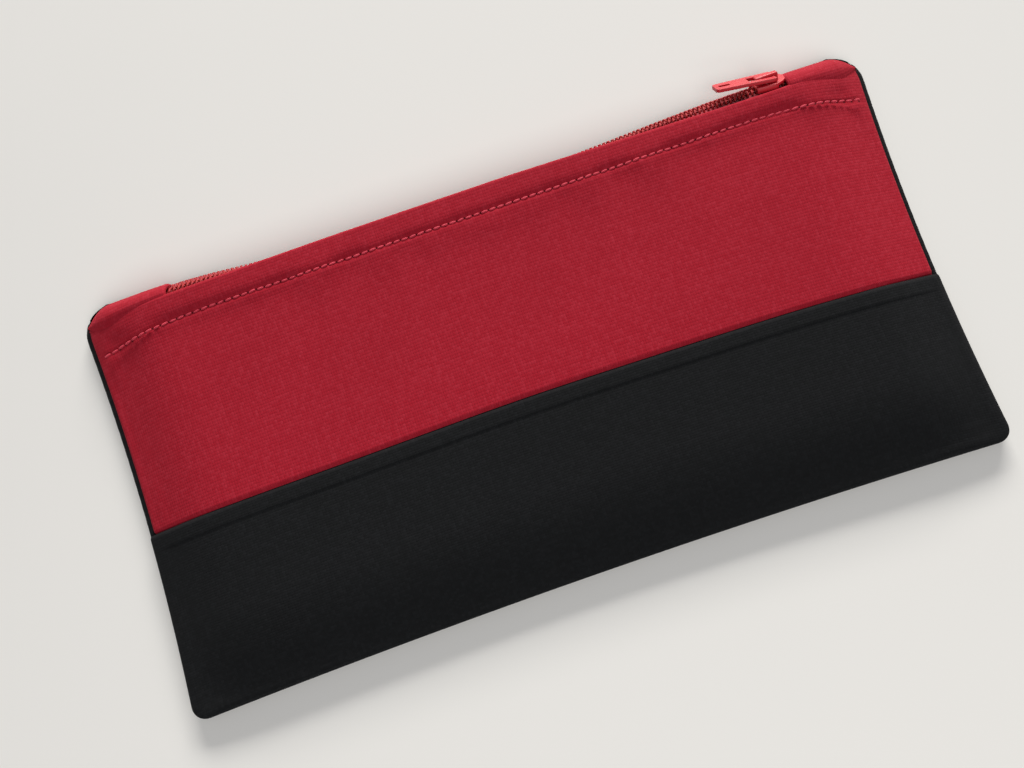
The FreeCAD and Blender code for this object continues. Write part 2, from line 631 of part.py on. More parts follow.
pull = doc.addObject("PartDesign::Body", "PullTab")
pullSketch = newSketch(pull, "PullSketch", "-Sizes.pull_thickness / 2")
trapezoid(pullSketch, "-Sizes.pull_length", "0 * Sizes.pull_length", "Sizes.pull_tail", "Sizes.pull_head")
blade = pad(pull, "Blade", pullSketch, "Sizes.pull_thickness")
doc.recompute()
edges = [
    f"Edge{n}"
    for n, edge in enumerate(blade.Shape.Edges, start=1)
    if edge.BoundBox.ZLength > size("pull_thickness") / 2
    and edge.CenterOfMass.x < -size("pull_length") / 2
]
rounding = pull.newObject("PartDesign::Fillet", "TailCorners")
rounding.Base = (blade, edges)
bind(rounding, {"Radius": "Sizes.pull_corner"})
pin = pull.newObject("PartDesign::AdditiveCylinder", "Pin")
pin.AttachmentSupport = (originPlane(pull, "XZ_Plane"), "")
pin.MapMode = "FlatFace"
bind(pin, {"Radius": "Sizes.pin_radius", "Height": "Sizes.pull_head",
           "AttachmentOffset.Base.z": "-Sizes.pull_head / 2"})
windowSketch = newSketch(pull, "WindowSketch", "-Sizes.pull_thickness")
windowWidth = "Sizes.crown_width + 2 * Sizes.window_gap"
windowLeft = "-Sizes.pin_radius - Sizes.pull_window"
trapezoid(windowSketch, windowLeft, "-Sizes.pin_radius", windowWidth, windowWidth)
pocket(pull, "Window", windowSketch, "2 * Sizes.pull_thickness")
slotSketch = newSketch(pull, "SlotSketch", "-Sizes.pull_thickness")
slotLeft = "Sizes.pull_slot_inset - Sizes.pull_length"
slotRight = f"{slotLeft} + Sizes.pull_slot"
slotWidth = "Sizes.pull_slot_width"
trapezoid(slotSketch, slotLeft, slotRight, slotWidth, slotWidth)
pocket(pull, "Slot", slotSketch, "2 * Sizes.pull_thickness")
crownFront = size("crown_inset") - size("slider_length") / 2 + size("crown_length") - size("crown_wall")
pinX = closedMiddle + crownFront - size("pin_inset") - size("pin_radius")
plateHeight = size("coil_height") - size("tape_depth") + size("running_gap") + size("plate")
pinOut = plateHeight + size("pin_gap") + size("pin_radius")
pinPlace = chain + outward * pinOut + Vector(pinX, 0, 0)
onTheZip = Rotation(Vector(1, 0, 0), -size("zip_roll"))
pull.Placement = Placement(pinPlace, onTheZip * Rotation(Vector(0, 1, 0), size("pull_lift")))
subpart(pull, "pull_tab")

doc.recompute()
for thing in doc.Objects:
    if "Invalid" in thing.State or "Error" in thing.State:
        raise RuntimeError(f"{thing.Name} did not build: {thing.State}")
for piece in subparts:
    if piece.Shape.isNull() or not piece.Shape.isValid() or not piece.Shape.Solids:
        raise RuntimeError(f"{piece.Label} is not a valid solid")
for piece in subparts:
    piece.Shape.exportStep(f"parts/{piece.Label}.step")
    print(f"{piece.Label}: {len(piece.Shape.Solids)} solid(s), {piece.Shape.Volume:.1f} mm3")
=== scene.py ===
import json
import math

import bmesh
import bpy
import numpy as np
from mathutils import Matrix, Vector


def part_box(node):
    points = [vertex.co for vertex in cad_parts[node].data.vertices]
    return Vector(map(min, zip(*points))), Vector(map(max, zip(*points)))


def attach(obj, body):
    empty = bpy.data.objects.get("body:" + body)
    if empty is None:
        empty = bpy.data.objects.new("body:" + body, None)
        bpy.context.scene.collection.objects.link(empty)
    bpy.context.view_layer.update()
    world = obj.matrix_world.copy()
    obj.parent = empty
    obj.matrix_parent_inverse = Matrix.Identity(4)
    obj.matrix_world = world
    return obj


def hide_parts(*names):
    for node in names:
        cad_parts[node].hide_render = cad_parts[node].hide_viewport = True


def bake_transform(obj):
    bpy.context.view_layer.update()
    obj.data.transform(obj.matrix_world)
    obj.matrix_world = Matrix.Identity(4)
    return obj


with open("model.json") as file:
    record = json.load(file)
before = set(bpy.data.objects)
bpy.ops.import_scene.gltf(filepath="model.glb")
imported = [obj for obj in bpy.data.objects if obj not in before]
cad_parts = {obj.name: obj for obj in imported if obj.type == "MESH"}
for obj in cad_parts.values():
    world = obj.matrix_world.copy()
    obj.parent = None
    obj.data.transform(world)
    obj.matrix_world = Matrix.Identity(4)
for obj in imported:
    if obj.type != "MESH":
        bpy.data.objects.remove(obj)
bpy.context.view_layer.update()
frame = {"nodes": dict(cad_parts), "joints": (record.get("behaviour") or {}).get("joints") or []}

# Lengths here are millimetres until a mesh is made. X runs along the case, Y from the bottom
# seam to the zip, Z up from the table.
mm = 0.001


def nodeBox(name):
    low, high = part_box(name)
    return np.array(low) / mm, np.array(high) / mm


backLow, backHigh = nodeBox("back_panel")
frontHigh = nodeBox("front_upper_panel")[1]
coilLow, coilHigh = nodeBox("front_coil")
otherCoilLow, otherCoilHigh = nodeBox("back_coil")
joints = {joint["name"]: joint for joint in frame["joints"]}
pinAxis = np.array(joints["pull_swing"]["axis"], float)

case = {
    "halfLength": backHigh[0] + 0.4,  # to a side seam, if the corners were square
    "bottomY": backLow[1] - 0.2,
    "topY": backHigh[1],
    "height": frontHigh[2],
    "sideBow": 2.4,
    "bottomBow": 2.4,
    "topCorner": 9.0,
    "bottomCorner": 4.5,
    "canvas": 0.85,  # thickness of the canvas
    "lining": 0.35,
    "puffSide": 25.0,  # width of the front's rounded margins
    "puffBottom": 27.0,
    "backMargin": 10.0,
    "redInset": 1.6,  # how far the red panel's side seams lie inside the black ones
}
zipPath = {
    "left": coilLow[0],
    "right": coilHigh[0],
    "y": (coilLow[1] + otherCoilHigh[1]) / 2 - 0.28,
    "z": (coilHigh[2] + otherCoilLow[2]) / 2 - 0.28,
    "roll": math.atan2(-pinAxis[2], pinAxis[1]),  # the zip's turn about X
    "sagY": -1.5,  # how the zip sags and turns midway
    "sagZ": -1.2,
    "sagRoll": math.radians(18),
    "sagLeft": (-86.0, -48.0),
    "sagRight": (80.0, 8.0),
    "pitch": 1.27,
}
print("frame read")


def smooth(t):
    t = np.clip(t, 0.0, 1.0)
    return t * t * (3 - 2 * t)


def lerp(a, b, t):
    return a + (b - a) * t


def spaced(start, stop, step):
    return np.linspace(start, stop, max(2, int(round(abs(stop - start) / step)) + 1))


def sagAt(x):
    left, right = zipPath["sagLeft"], zipPath["sagRight"]
    return smooth((x - left[0]) / (left[1] - left[0])) * smooth((x - right[0]) / (right[1] - right[0]))


def zipPoint(x, acrossZip, outOfZip):
    # a place in the case's frame, from one in the zip's own frame at x
    sag = sagAt(x)
    roll = zipPath["roll"] + zipPath["sagRoll"] * sag
    y = zipPath["y"] + zipPath["sagY"] * sag + acrossZip * np.cos(roll) + outOfZip * np.sin(roll)
    z = zipPath["z"] + zipPath["sagZ"] * sag - acrossZip * np.sin(roll) + outOfZip * np.cos(roll)
    return np.stack([np.broadcast_to(x, np.shape(y)), y, z], axis=-1)


class Value:
    # a number on a socket; sums on it add Math nodes
    def __init__(self, finish, socket):
        self.finish = finish
        self.socket = socket

    def math(self, operation, *values):
        node = self.finish.node("ShaderNodeMath", {"operation": operation}, dict(enumerate(values)))
        return Value(self.finish, node.outputs[0])

    def __add__(self, other):
        return self.math("ADD", self, other)

    def __sub__(self, other):
        return self.math("SUBTRACT", self, other)

    def __rsub__(self, other):
        return self.math("SUBTRACT", other, self)

    def __mul__(self, other):
        return self.math("MULTIPLY", self, other)

    def __truediv__(self, other):
        return self.math("DIVIDE", self, other)

    def __pow__(self, other):
        return self.math("POWER", self, other)

    __radd__ = __add__
    __rmul__ = __mul__

    def floor(self):
        return self.math("FLOOR", self)

    def part(self):
        return self.math("FRACT", self)

    def absolute(self):
        return self.math("ABSOLUTE", self)

    def sine(self):
        return self.math("SINE", self)

    def larger(self, other):
        return self.math("MAXIMUM", self, other)

    def ramp(self, start, stop):
        # 0 before start, 1 after stop, and smooth between
        node = self.finish.node("ShaderNodeMapRange", {"interpolation_type": "SMOOTHSTEP"},
                                {0: self, 1: start, 2: stop, 3: 0.0, 4: 1.0})
        return Value(self.finish, node.outputs[0])


class Nodes:
    def plug(self, socket, value):
        if isinstance(value, Value):
            value = value.socket
        if isinstance(value, bpy.types.NodeSocket):
            self.tree.links.new(value, socket)
        else:
            socket.default_value = value

    def node(self, kind, settings=None, sockets=None):
        made = self.tree.nodes.new(kind)
        for key, value in (settings or {}).items():
            setattr(made, key, value)
        for key, value in (sockets or {}).items():
            self.plug(made.inputs[key], value)
        return made


class Finish(Nodes):
    def __init__(self, name):
        self.material = bpy.data.materials.new(name)
        self.material.use_nodes = True
        self.tree = self.material.node_tree
        self.shader = self.tree.nodes["Principled BSDF"]

    def set(self, **sockets):
        for key, value in sockets.items():
            self.plug(self.shader.inputs[key.replace("_", " ")], value)

    def clothPlace(self):
        # the cloth's own u and v, in millimetres
        uv = self.node("ShaderNodeUVMap", {"uv_map": "cloth"})
        parts = self.node("ShaderNodeSeparateXYZ", None, {0: uv.outputs[0]})
        return Value(self, parts.outputs[0]) * 1000.0, Value(self, parts.outputs[1]) * 1000.0

    def position(self):
        return self.node("ShaderNodeTexCoord").outputs["Object"]

    def noise(self, vector, scale, detail=3.0, roughness=0.55):
        made = self.node("ShaderNodeTexNoise", None,
                         {"Vector": vector, "Scale": scale, "Detail": detail, "Roughness": roughness})
        return Value(self, made.outputs[0])

    def joined(self, x, y, z=0.0):
        return self.node("ShaderNodeCombineXYZ", None, {0: x, 1: y, 2: z}).outputs[0]

    def chance(self, number, seed):
        # one random value for each whole number and seed
        made = self.node("ShaderNodeTexWhiteNoise", {"noise_dimensions": "2D"},
                         {"Vector": self.joined(number, seed)})
        return Value(self, made.outputs[0])

    def mix(self, factor, first, second):
        made = self.node("ShaderNodeMix", {"data_type": "RGBA"}, {0: factor, 6: first, 7: second})
        return made.outputs[2]

    def bump(self, height, distance, strength):
        made = self.node("ShaderNodeBump", None,
                         {"Strength": strength, "Distance": distance, "Height": height})
        self.set(Normal=made.outputs[0])
        return self.material


def rgb(red, green, blue):
    # a colour from its 0 to 255 values
    return tuple(((c / 255 + 0.055) / 1.055) ** 2.4 if c > 10 else c / 255 / 12.92
                 for c in (red, green, blue)) + (1.0,)


def darker(colour, share):
    return tuple(c * share for c in colour[:3]) + (1.0,)


def wovenCloth(name, colour, gap, light, pitch, sheen, unevenness, holePitch=None):
    # plain weave; pitch is the spacing of the threads, counted along u and along v
    made = Finish(name)
    u, v = made.clothPlace()
    drift = made.noise(made.joined(u * 0.02, v * 0.02), 1.0, 2.0)
    du = u / pitch[0] + drift * 1.6
    dv = v / pitch[1] + drift * 1.3
    evenU = 1.0 - 2.0 * (du.floor() * 0.5).part() * 2.0
    evenV = 1.0 - 2.0 * (dv.floor() * 0.5).part() * 2.0
    warpUp = (dv * math.pi).sine() * evenU
    weftUp = (du * math.pi).sine() * evenV * -1.0
    warpTone = made.chance(du.floor(), 3.0)
    weftTone = made.chance(dv.floor(), 7.0)
    warpWide = 1.0 - ((du.part() - 0.5) * 2.0) ** 2.0
    weftWide = 1.0 - ((dv.part() - 0.5) * 2.0) ** 2.0
    warp = warpWide * 0.42 + warpUp * 0.45 + warpTone * 0.1
    weft = weftWide * 0.3 + weftUp * 0.45 + weftTone * 0.06
    relief = warp.larger(weft)
    onWarp = (warp - weft).ramp(-0.08, 0.08)
    slub = made.noise(made.joined(u * 0.35, v * 1.1), 1.0, 3.0)
    slubAcross = made.noise(made.joined(u * 1.4, v * 0.35), 1.0, 3.0)
    tone = onWarp * (warpTone * 0.35 + slubAcross) + (1.0 - onWarp) * (weftTone * 0.35 + slub)
    fluff = made.noise(made.joined(u * 1.9, v * 1.9), 1.0, 3.0)
    base = made.mix((relief * 1.3 + fluff * 0.3).ramp(0.05, 0.8), gap, colour)
    fleck = made.chance(du.floor(), dv.floor())
    worn = made.mix(((tone - 0.5) * unevenness).ramp(0.0, 1.0) * 0.5 + fleck * fleck * 0.35, base, light)
    patch = made.noise(made.position(), 22.0, 4.0)
    shade = made.mix(patch.ramp(0.35, 0.68) * 0.16, worn, darker(colour, 0.7))
    fibres = made.noise(made.joined(u * 4.0, v * 4.0), 1.0, 4.0, 0.7)
    height = relief + fibres * 0.22 + slub * 0.12
    if holePitch:
        holeDentAndShade = stitchHoleDentAndShade(made, holePitch)
        # painted shade: the needle holes are darkened towards a deep gap colour
        shade = made.mix(holeDentAndShade * 0.85, shade, darker(gap, 0.35))
        height = height - holeDentAndShade * 1.2
    made.set(Base_Color=shade, Roughness=0.86 + fibres * 0.12)
    made.set(Sheen_Weight=sheen, Sheen_Roughness=0.45, Specular_IOR_Level=0.22, Sheen_Tint=light)
    return made.bump(height, 0.00012, 0.55)


def stitchHoleDentAndShade(made, pitch):
    # needle holes between the stitches, read from the cloth's stitchPlace: a mask that dents the bump and
    # paints shade into the holes
    row = made.node("ShaderNodeAttribute", {"attribute_name": "stitchPlace"})
    parts = made.node("ShaderNodeSeparateXYZ", None, {0: row.outputs["Vector"]})
    along = Value(made, parts.outputs[0]) * 1000.0
    aside = Value(made, parts.outputs[1]) * 1000.0
    nearHole = ((along / pitch).part() - 0.5).absolute() * pitch
    reach = (nearHole * nearHole + aside * aside) ** 0.5
    return 1.0 - reach.ramp(0.16, 0.42)


def threadFinish(name, colour, light):
    made = Finish(name)
    position = made.position()
    ply = made.node("ShaderNodeTexWave", {"wave_type": "BANDS", "bands_direction": "DIAGONAL"},
                    {"Vector": position, "Scale": 1500.0, "Distortion": 0.6})
    twist = Value(made, ply.outputs[1])
    lint = made.noise(position, 2600.0, 3.0)
    made.set(Base_Color=made.mix(twist * 0.6 + lint * 0.3, darker(colour, 0.72), light),
             Roughness=0.55 + lint * 0.2)
    made.set(Sheen_Weight=0.1, Specular_IOR_Level=0.3)
    return made.bump(twist + lint * 0.4, 0.00005, 0.8)


def tapeFinish(name, colour, light):
    made = Finish(name)
    u, v = made.clothPlace()
    rib = ((u * 2.6 + v * 1.3) * math.pi).sine() * 0.5 + 0.5
    cross = ((v * 3.1) * math.pi).sine() * 0.5 + 0.5
    weave = rib * 0.6 + cross * 0.4
    fuzz = made.noise(made.joined(u * 5.0, v * 5.0), 1.0, 3.0)
    made.set(Base_Color=made.mix(weave * 0.7 + fuzz * 0.3, darker(colour, 0.6), light),
             Roughness=0.78 + fuzz * 0.15)
    made.set(Sheen_Weight=0.3, Specular_IOR_Level=0.25)
    return made.bump(weave + fuzz * 0.3, 0.00008, 0.8)


def nylonFinish(name, colour, light):
    made = Finish(name)
    dust = made.noise(made.position(), 900.0, 4.0)
    made.set(Base_Color=made.mix(dust.ramp(0.35, 0.75), colour, light), Roughness=0.5 + dust * 0.25)
    made.set(Specular_IOR_Level=0.3, Subsurface_Weight=0.06, Subsurface_Scale=0.0006)
    return made.bump(dust, 0.00003, 0.5)


def enamelFinish(name, colour, worn):
    # baked enamel, a little rubbed at its edges
    made = Finish(name)
    position = made.position()
    peel = made.noise(position, 1400.0, 2.0)
    flow = made.noise(position, 260.0, 3.0)
    edge = made.node("ShaderNodeNewGeometry")
    rubbed = Value(made, edge.outputs["Pointiness"]).ramp(0.56, 0.66) * flow.ramp(0.45, 0.6)
    tone = made.mix(flow.ramp(0.3, 0.8) * 0.5, colour, darker(colour, 0.8))
    made.set(Base_Color=made.mix(rubbed * 0.7, tone, worn), Roughness=0.34 + peel * 0.12 + rubbed * 0.1)
    made.set(Coat_Weight=0.15, Coat_Roughness=0.3, Specular_IOR_Level=0.35)
    return made.bump(peel * 0.5 + flow, 0.00004, 0.35)


def metalFinish(name, colour, brushed):
    made = Finish(name)
    grain = made.noise(made.position(), brushed, 4.0)
    made.set(Base_Color=made.mix(grain, darker(colour, 0.8), colour), Roughness=0.3 + grain * 0.25)
    made.set(Metallic=1.0)
    return made.bump(grain, 0.00002, 0.4)


def floorFinish(name, colour):
    made = Finish(name)
    position = made.position()
    broad = made.noise(position, 4.0, 3.0)
    fine = made.noise(position, 900.0, 3.0)
    made.set(Base_Color=made.mix(broad.ramp(0.3, 0.7) * 0.5, colour, darker(colour, 0.97)),
             Roughness=0.72 + fine * 0.1)
    made.set(Specular_IOR_Level=0.2)
    return made.bump(fine, 0.00002, 0.25)


stitchRow = {
    "pitch": 2.27,
    "length": 1.95,
    "width": 0.62,
    "height": 0.42,
    "slant": math.radians(5),
    "leftEnd": -108.0,
    "rightEnd": 110.0,
    "y": 46.2,  # on the front, at the middle of the case
    "drop": 0.0027,  # how it falls towards the side seams
    "dropFrom": 74.0,
    "backInset": 5.2,
    "sink": 0.3,  # how deep the row draws the cloth in, and how far from it that is felt
    "sinkWidth": 0.75,
    "fade": 14.0,
}
colours = {
    "red": rgb(160, 20, 38),
    "redGap": rgb(116, 11, 24),
    "redLight": rgb(180, 46, 62),
    "black": rgb(15, 16, 17),
    "blackGap": rgb(7, 7, 8),
    "blackLight": rgb(30, 31, 33),
    "coil": rgb(158, 26, 30),
    "coilLight": rgb(178, 48, 44),
    "tape": rgb(150, 22, 36),
    "thread": rgb(200, 30, 52),
    "threadLight": rgb(228, 72, 92),
    "enamel": rgb(196, 26, 40),
    "enamelWorn": rgb(214, 84, 88),
    "lining": rgb(44, 44, 48),
    "floor": rgb(233, 231, 226),
}
materials = {
    "red_canvas": wovenCloth("red_canvas", colours["red"], colours["redGap"], colours["redLight"],
                             (0.70, 0.84), 0.12, 0.9, stitchRow["pitch"]),
    "black_canvas": wovenCloth("black_canvas", colours["black"], colours["blackGap"], colours["blackLight"],
                               (0.86, 0.66), 0.08, 0.8),
    "lining_cotton": wovenCloth("lining_cotton", colours["lining"], darker(colours["lining"], 0.4),
                                rgb(66, 66, 72), (0.32, 0.32), 0.1, 0.6),
    "zip_tape": tapeFinish("zip_tape", colours["tape"], rgb(186, 44, 60)),
    "zip_coil": nylonFinish("zip_coil", colours["coil"], colours["coilLight"]),
    "zip_thread": threadFinish("zip_thread", rgb(176, 40, 54), rgb(206, 76, 84)),
    "red_thread": threadFinish("red_thread", colours["thread"], colours["threadLight"]),
    "black_thread": threadFinish("black_thread", rgb(24, 26, 28), rgb(52, 54, 58)),
    "stop_metal": metalFinish("stop_metal", rgb(196, 70, 76), 700.0),
    "red_enamel": enamelFinish("red_enamel", colours["enamel"], colours["enamelWorn"]),
    "spring_steel": metalFinish("spring_steel", rgb(186, 188, 192), 1200.0),
}
print("finishes made")


def place(name, mesh, material):
    mesh.materials.clear()
    mesh.materials.append(materials[material])
    made = bpy.data.objects.new(name, mesh)
    bpy.context.scene.collection.objects.link(made)
    return made


def gridNormals(points):
    # normals of a grid of points, from the faces round each
    cross = np.cross(points[1:, 1:] - points[:-1, :-1], points[1:, :-1] - points[:-1, 1:])
    total = np.zeros_like(points)
    for rows in (slice(0, -1), slice(1, None)):
        for columns in (slice(0, -1), slice(1, None)):
            total[rows, columns] += cross
    return unit(total)


def gridFaces(rows, columns):
    index = np.arange(rows * columns).reshape(rows, columns)
    corners = [index[:-1, :-1], index[:-1, 1:], index[1:, 1:], index[1:, :-1]]
    return np.stack(corners, axis=-1).reshape(-1, 4)


def unit(vectors):
    return vectors / np.maximum(np.linalg.norm(vectors, axis=-1, keepdims=True), 1e-12)


def clothMesh(name, points, uv, thickness, normals=None, stitches=None):
    # a sheet with thickness; points are its outer side
    rows, columns = points.shape[:2]
    normals = gridNormals(points) if normals is None else normals
    inner = points - normals * thickness
    count = rows * columns
    outerFaces = gridFaces(rows, columns)
    innerFaces = outerFaces[:, ::-1]
    faces = [outerFaces, innerFaces + count]
    flatNormals = normals.reshape(-1, 3)
    loopNormals = [flatNormals[outerFaces.ravel()], -flatNormals[innerFaces.ravel()]]
    index = np.arange(count).reshape(rows, columns)
    both = np.concatenate([points.reshape(-1, 3), inner.reshape(-1, 3)])
    for line in (index[0, ::-1], index[-1], index[:, 0], index[::-1, -1]):
        rim = np.stack([line[:-1], line[1:], line[1:] + count, line[:-1] + count], axis=-1)
        side = unit(np.cross(both[rim[:, 1]] - both[rim[:, 0]], both[rim[:, 3]] - both[rim[:, 0]]))
        faces.append(rim)
        loopNormals.append(np.repeat(side, 4, axis=0))
    allFaces = np.concatenate(faces)
    mesh = bpy.data.meshes.new(name)
    mesh.from_pydata((both * mm).tolist(), [], allFaces.tolist())
    flat = np.concatenate([uv.reshape(-1, 2)] * 2)[allFaces.ravel()] * mm
    mesh.uv_layers.new(name="cloth").data.foreach_set("uv", flat.astype(np.float32).ravel())
    if stitches is not None:
        spot = mesh.attributes.new("stitchPlace", "FLOAT_VECTOR", "POINT")
        where = np.dstack([stitches, np.zeros((rows, columns))]).reshape(-1, 3)
        where = np.concatenate([where] * 2) * mm
        spot.data.foreach_set("vector", where.astype(np.float32).ravel())
    mesh.shade_smooth()
    mesh.normals_split_custom_set(np.concatenate(loopNormals).tolist())
    return mesh


def rowLengths(points, origin):
    # how far along the cloth each row is, counted from the row at origin
    step = np.linalg.norm(np.diff(points, axis=0), axis=-1)
    run = np.concatenate([np.zeros((1, points.shape[1])), np.cumsum(step, axis=0)])
    return run - run[origin]


def margin(distance, width):
    return 1 - (1 - np.clip(distance / width, 0, 1)) ** 2


def sideX(y):
    middle = (case["bottomY"] + case["topY"]) / 2
    reach = (case["topY"] - case["bottomY"]) / 2
    return case["halfLength"] - case["sideBow"] * (1 - np.clip((y - middle) / reach, -1, 1) ** 2)


def topRound(y):
    # how far the rounded corner beside the zip lies inside the side seam
    radius = case["topCorner"]
    up = np.clip(y - (case["topY"] - radius), 0, radius * 0.995)
    return radius - np.sqrt(radius ** 2 - up ** 2)


panelSeam = {
    "y": -4.9,
    "dropLeft": 2.0,
    "dropRight": 4.0,
    "wander": 0.12,
    "dip": 0.6,
    "dipWidth": 0.55,
    "allowance": 4.2,  # width of the turned-down canvas under the black panel
    "step": 0.26,
}
frontFold = {
    "ends": 52.7,  # outermost Y of the fold, at the ends of the case
    "middle": 53.7,
    "left": 53.2,
    "slider": 52.2,
    "radius": 0.95,
    "under": 6.0,  # canvas turned in under the wall
}


def seamY(x):
    share = (x + case["halfLength"]) / (2 * case["halfLength"])
    drop = np.where(x < 0, panelSeam["dropLeft"], panelSeam["dropRight"])
    wander = panelSeam["wander"] * np.sin(share * 17.0)
    return panelSeam["y"] - drop * (x / case["halfLength"]) ** 2 + wander


def foldY(x):
    known = [-114, -100, -87, -70, -40, 10, 45, 70, 88, 100, 114]
    where = [frontFold["ends"], 52.9, frontFold["left"], 53.4, frontFold["middle"], frontFold["middle"],
             53.0, frontFold["slider"] + 0.2, frontFold["slider"], 52.4, frontFold["ends"]]
    spread = [-5.0, -2.5, 0.0, 2.5, 5.0]
    return np.mean([np.interp(np.asarray(x) + s, known, where) for s in spread], axis=0)


def stitchY(x):
    return stitchRow["y"] - stitchRow["drop"] * np.maximum(np.abs(x) - stitchRow["dropFrom"], 0) ** 2


def backEdgeY(x):
    return case["topY"] - 2.1 - 1.9 * sagAt(x)


ease = {
    "cell": 3.4,  # spacing of the cloth that is let settle
    "inset": 2.0,
    "top": 52.5,
    "scale": 10,  # how much larger than the case the settling cloth is
    "spare": 0.006,  # how much larger the canvas was cut than the space it fills
    "frames": 14,
    "most": 1.1,  # limit of the folds it makes
    "fade": 8,  # width over which the folds die out at the seams
}


def settledCloth():
    # lets the front's canvas settle between its seams; gives a function for the height of its folds
    inset = ease["inset"]
    halfWidth = case["halfLength"] - inset
    xs = spaced(-halfWidth, halfWidth, ease["cell"])
    ys = spaced(case["bottomY"] + inset, ease["top"], ease["cell"])
    x, y = np.meshgrid(xs, ys)
    x = x * (sideX(y) - inset) / halfWidth
    z = frontHeight(x, y, sideX(y) - np.abs(x), y - case["bottomY"])
    spots = np.dstack([x, y, z]).reshape(-1, 3) * mm * ease["scale"]
    mesh = bpy.data.meshes.new("settling")
    mesh.from_pydata(spots.tolist(), [], gridFaces(len(ys), len(xs)).tolist())
    cloth = bpy.data.objects.new("settling", mesh)
    bpy.context.scene.collection.objects.link(cloth)
    sewn = np.zeros(x.shape)
    sewn[0] = sewn[-1] = sewn[:, 0] = sewn[:, -1] = 1.0
    sewn[-2] = 0.9
    group = cloth.vertex_groups.new(name="sewn")
    for index, weight in enumerate(sewn.ravel()):
        if weight:
            group.add([index], float(weight), "REPLACE")
    modifier = cloth.modifiers.new("settle", "CLOTH")
    settings = modifier.settings
    settings.vertex_group_mass = "sewn"
    settings.shrink_min = -ease["spare"]
    settings.quality = 6
    settings.mass = 0.4
    settings.tension_stiffness = settings.compression_stiffness = 30
    settings.shear_stiffness = 12
    settings.bending_stiffness = 8
    settings.effector_weights.gravity = 0.35
    modifier.collision_settings.use_self_collision = False
    scene = bpy.context.scene
    scene.frame_start, scene.frame_end = 1, ease["frames"]
    modifier.point_cache.frame_start, modifier.point_cache.frame_end = 1, ease["frames"]
    for number in range(1, ease["frames"] + 1):
        scene.frame_set(number)
    view = bpy.context.evaluated_depsgraph_get()
    settled = bpy.data.meshes.new_from_object(cloth.evaluated_get(view), depsgraph=view)
    moved = np.empty(len(settled.vertices) * 3)
    settled.vertices.foreach_get("co", moved)
    lift = moved.reshape(-1, 3)[:, 2].reshape(x.shape) / mm / ease["scale"] - z
    bpy.data.objects.remove(cloth)
    scene.frame_set(1)
    print("canvas settled, folds from", round(float(lift.min()), 2), "to", round(float(lift.max()), 2))
    lift = ease["most"] * np.tanh(lift / ease["most"])
    near = np.minimum(np.minimum(sideX(y) - np.abs(x), y - case["bottomY"]), ease["top"] - y)
    lift = lift * smooth(near / ease["fade"])

    def folds(atX, atY):
        squared = atX * halfWidth / (sideX(atY) - inset)
        column = np.clip((squared - xs[0]) / (xs[1] - xs[0]), 0, len(xs) - 1.001)
        row = np.clip((atY - ys[0]) / (ys[1] - ys[0]), 0, len(ys) - 1.001)
        c, r = column.astype(int), row.astype(int)
        s, t = smooth(column - c), smooth(row - r)
        return lerp(lerp(lift[r, c], lift[r, c + 1], s), lerp(lift[r + 1, c], lift[r + 1, c + 1], s), t)

    return folds


foldsAt = None  # set once the cloth has settled


def frontHeight(x, y, side, low, rimLow=2.5, rimTop=3.5, roll=1.1):
    # height of the front wall; side and low are the distances to its seams, its corners rounded
    z = rimTop + (case["height"] - rimTop) * margin(side, case["puffSide"]) * margin(low, case["puffBottom"])
    edge = np.clip(np.minimum(side, low) / roll, 0, 1)
    z = z - (rimTop - rimLow) * (1 - np.sqrt(np.clip(1 - (1 - edge) ** 2, 0, 1)))
    aside = y - stitchY(x)
    fade = stitchRow["fade"]
    ends = smooth((x - stitchRow["leftEnd"] + 6) / fade) * smooth((stitchRow["rightEnd"] + 6 - x) / fade)
    pinch = 1 + 0.35 * np.cos(2 * math.pi * x / stitchRow["pitch"])
    z = z - stitchRow["sink"] * ends * pinch * np.exp(-(aside / stitchRow["sinkWidth"]) ** 2)
    return z + (foldsAt(x, y) if foldsAt else 0.0)


def rimSteps(roll):
    return [roll * (1 - math.cos(math.radians(angle))) for angle in range(0, 91, 15)]


def foldedOver(edge, radius, way, degrees, narrower, depths, lean=0.0):
    # rows that turn a cloth's last row up or down over a half circle, and lead it back in
    x, y, z = edge.T
    rows = []
    for angle in np.radians(spaced(0, 180, degrees)[1:]):
        turned = way * radius * (1 - math.cos(angle))
        rows.append(np.stack([x, y + radius * math.sin(angle), z + turned], -1))
    for back in depths:
        rows.append(np.stack([x * narrower, y - back, z + way * 2 * radius + lean * back], -1))
    return np.array(rows)


def nominalColumns(roll, pitch=1.35):
    # positions across the wall: close together at the rims, even between, and one at the middle
    width = case["halfLength"]
    rim = rimSteps(roll) + [roll + 0.5, roll + 1.2, roll + 2.1, roll + 3.2]
    middle = spaced(0, width - rim[-1], pitch)
    half = np.concatenate([middle[:-1], width - np.array(rim[::-1])])
    return np.concatenate([-half[:0:-1], half])


def roundCorner(x0, distance, radius):
    # moves a square corner's points onto a rounded one: which they are, their x and distance, and how
    # far they then are from the edge
    half = case["halfLength"]
    a = 1 - (half - np.abs(x0)) / radius
    b = 1 - distance / radius
    corner = (a > 0) & (b > 0)
    aRound = a * np.sqrt(np.clip(1 - b * b / 2, 0, 1))
    bRound = b * np.sqrt(np.clip(1 - a * a / 2, 0, 1))
    x = np.where(corner, np.sign(x0) * (half - radius + radius * aRound), x0)
    moved = np.where(corner, radius * (1 - bRound), distance)
    return corner, x, moved, radius * (1 - np.hypot(aRound, bRound))


blackRim = (2.1, 3.35, 1.2)  # height of the panel's edge, of the wall inside it, and its roll's radius
redRim = (2.55, 3.45, 1.0)


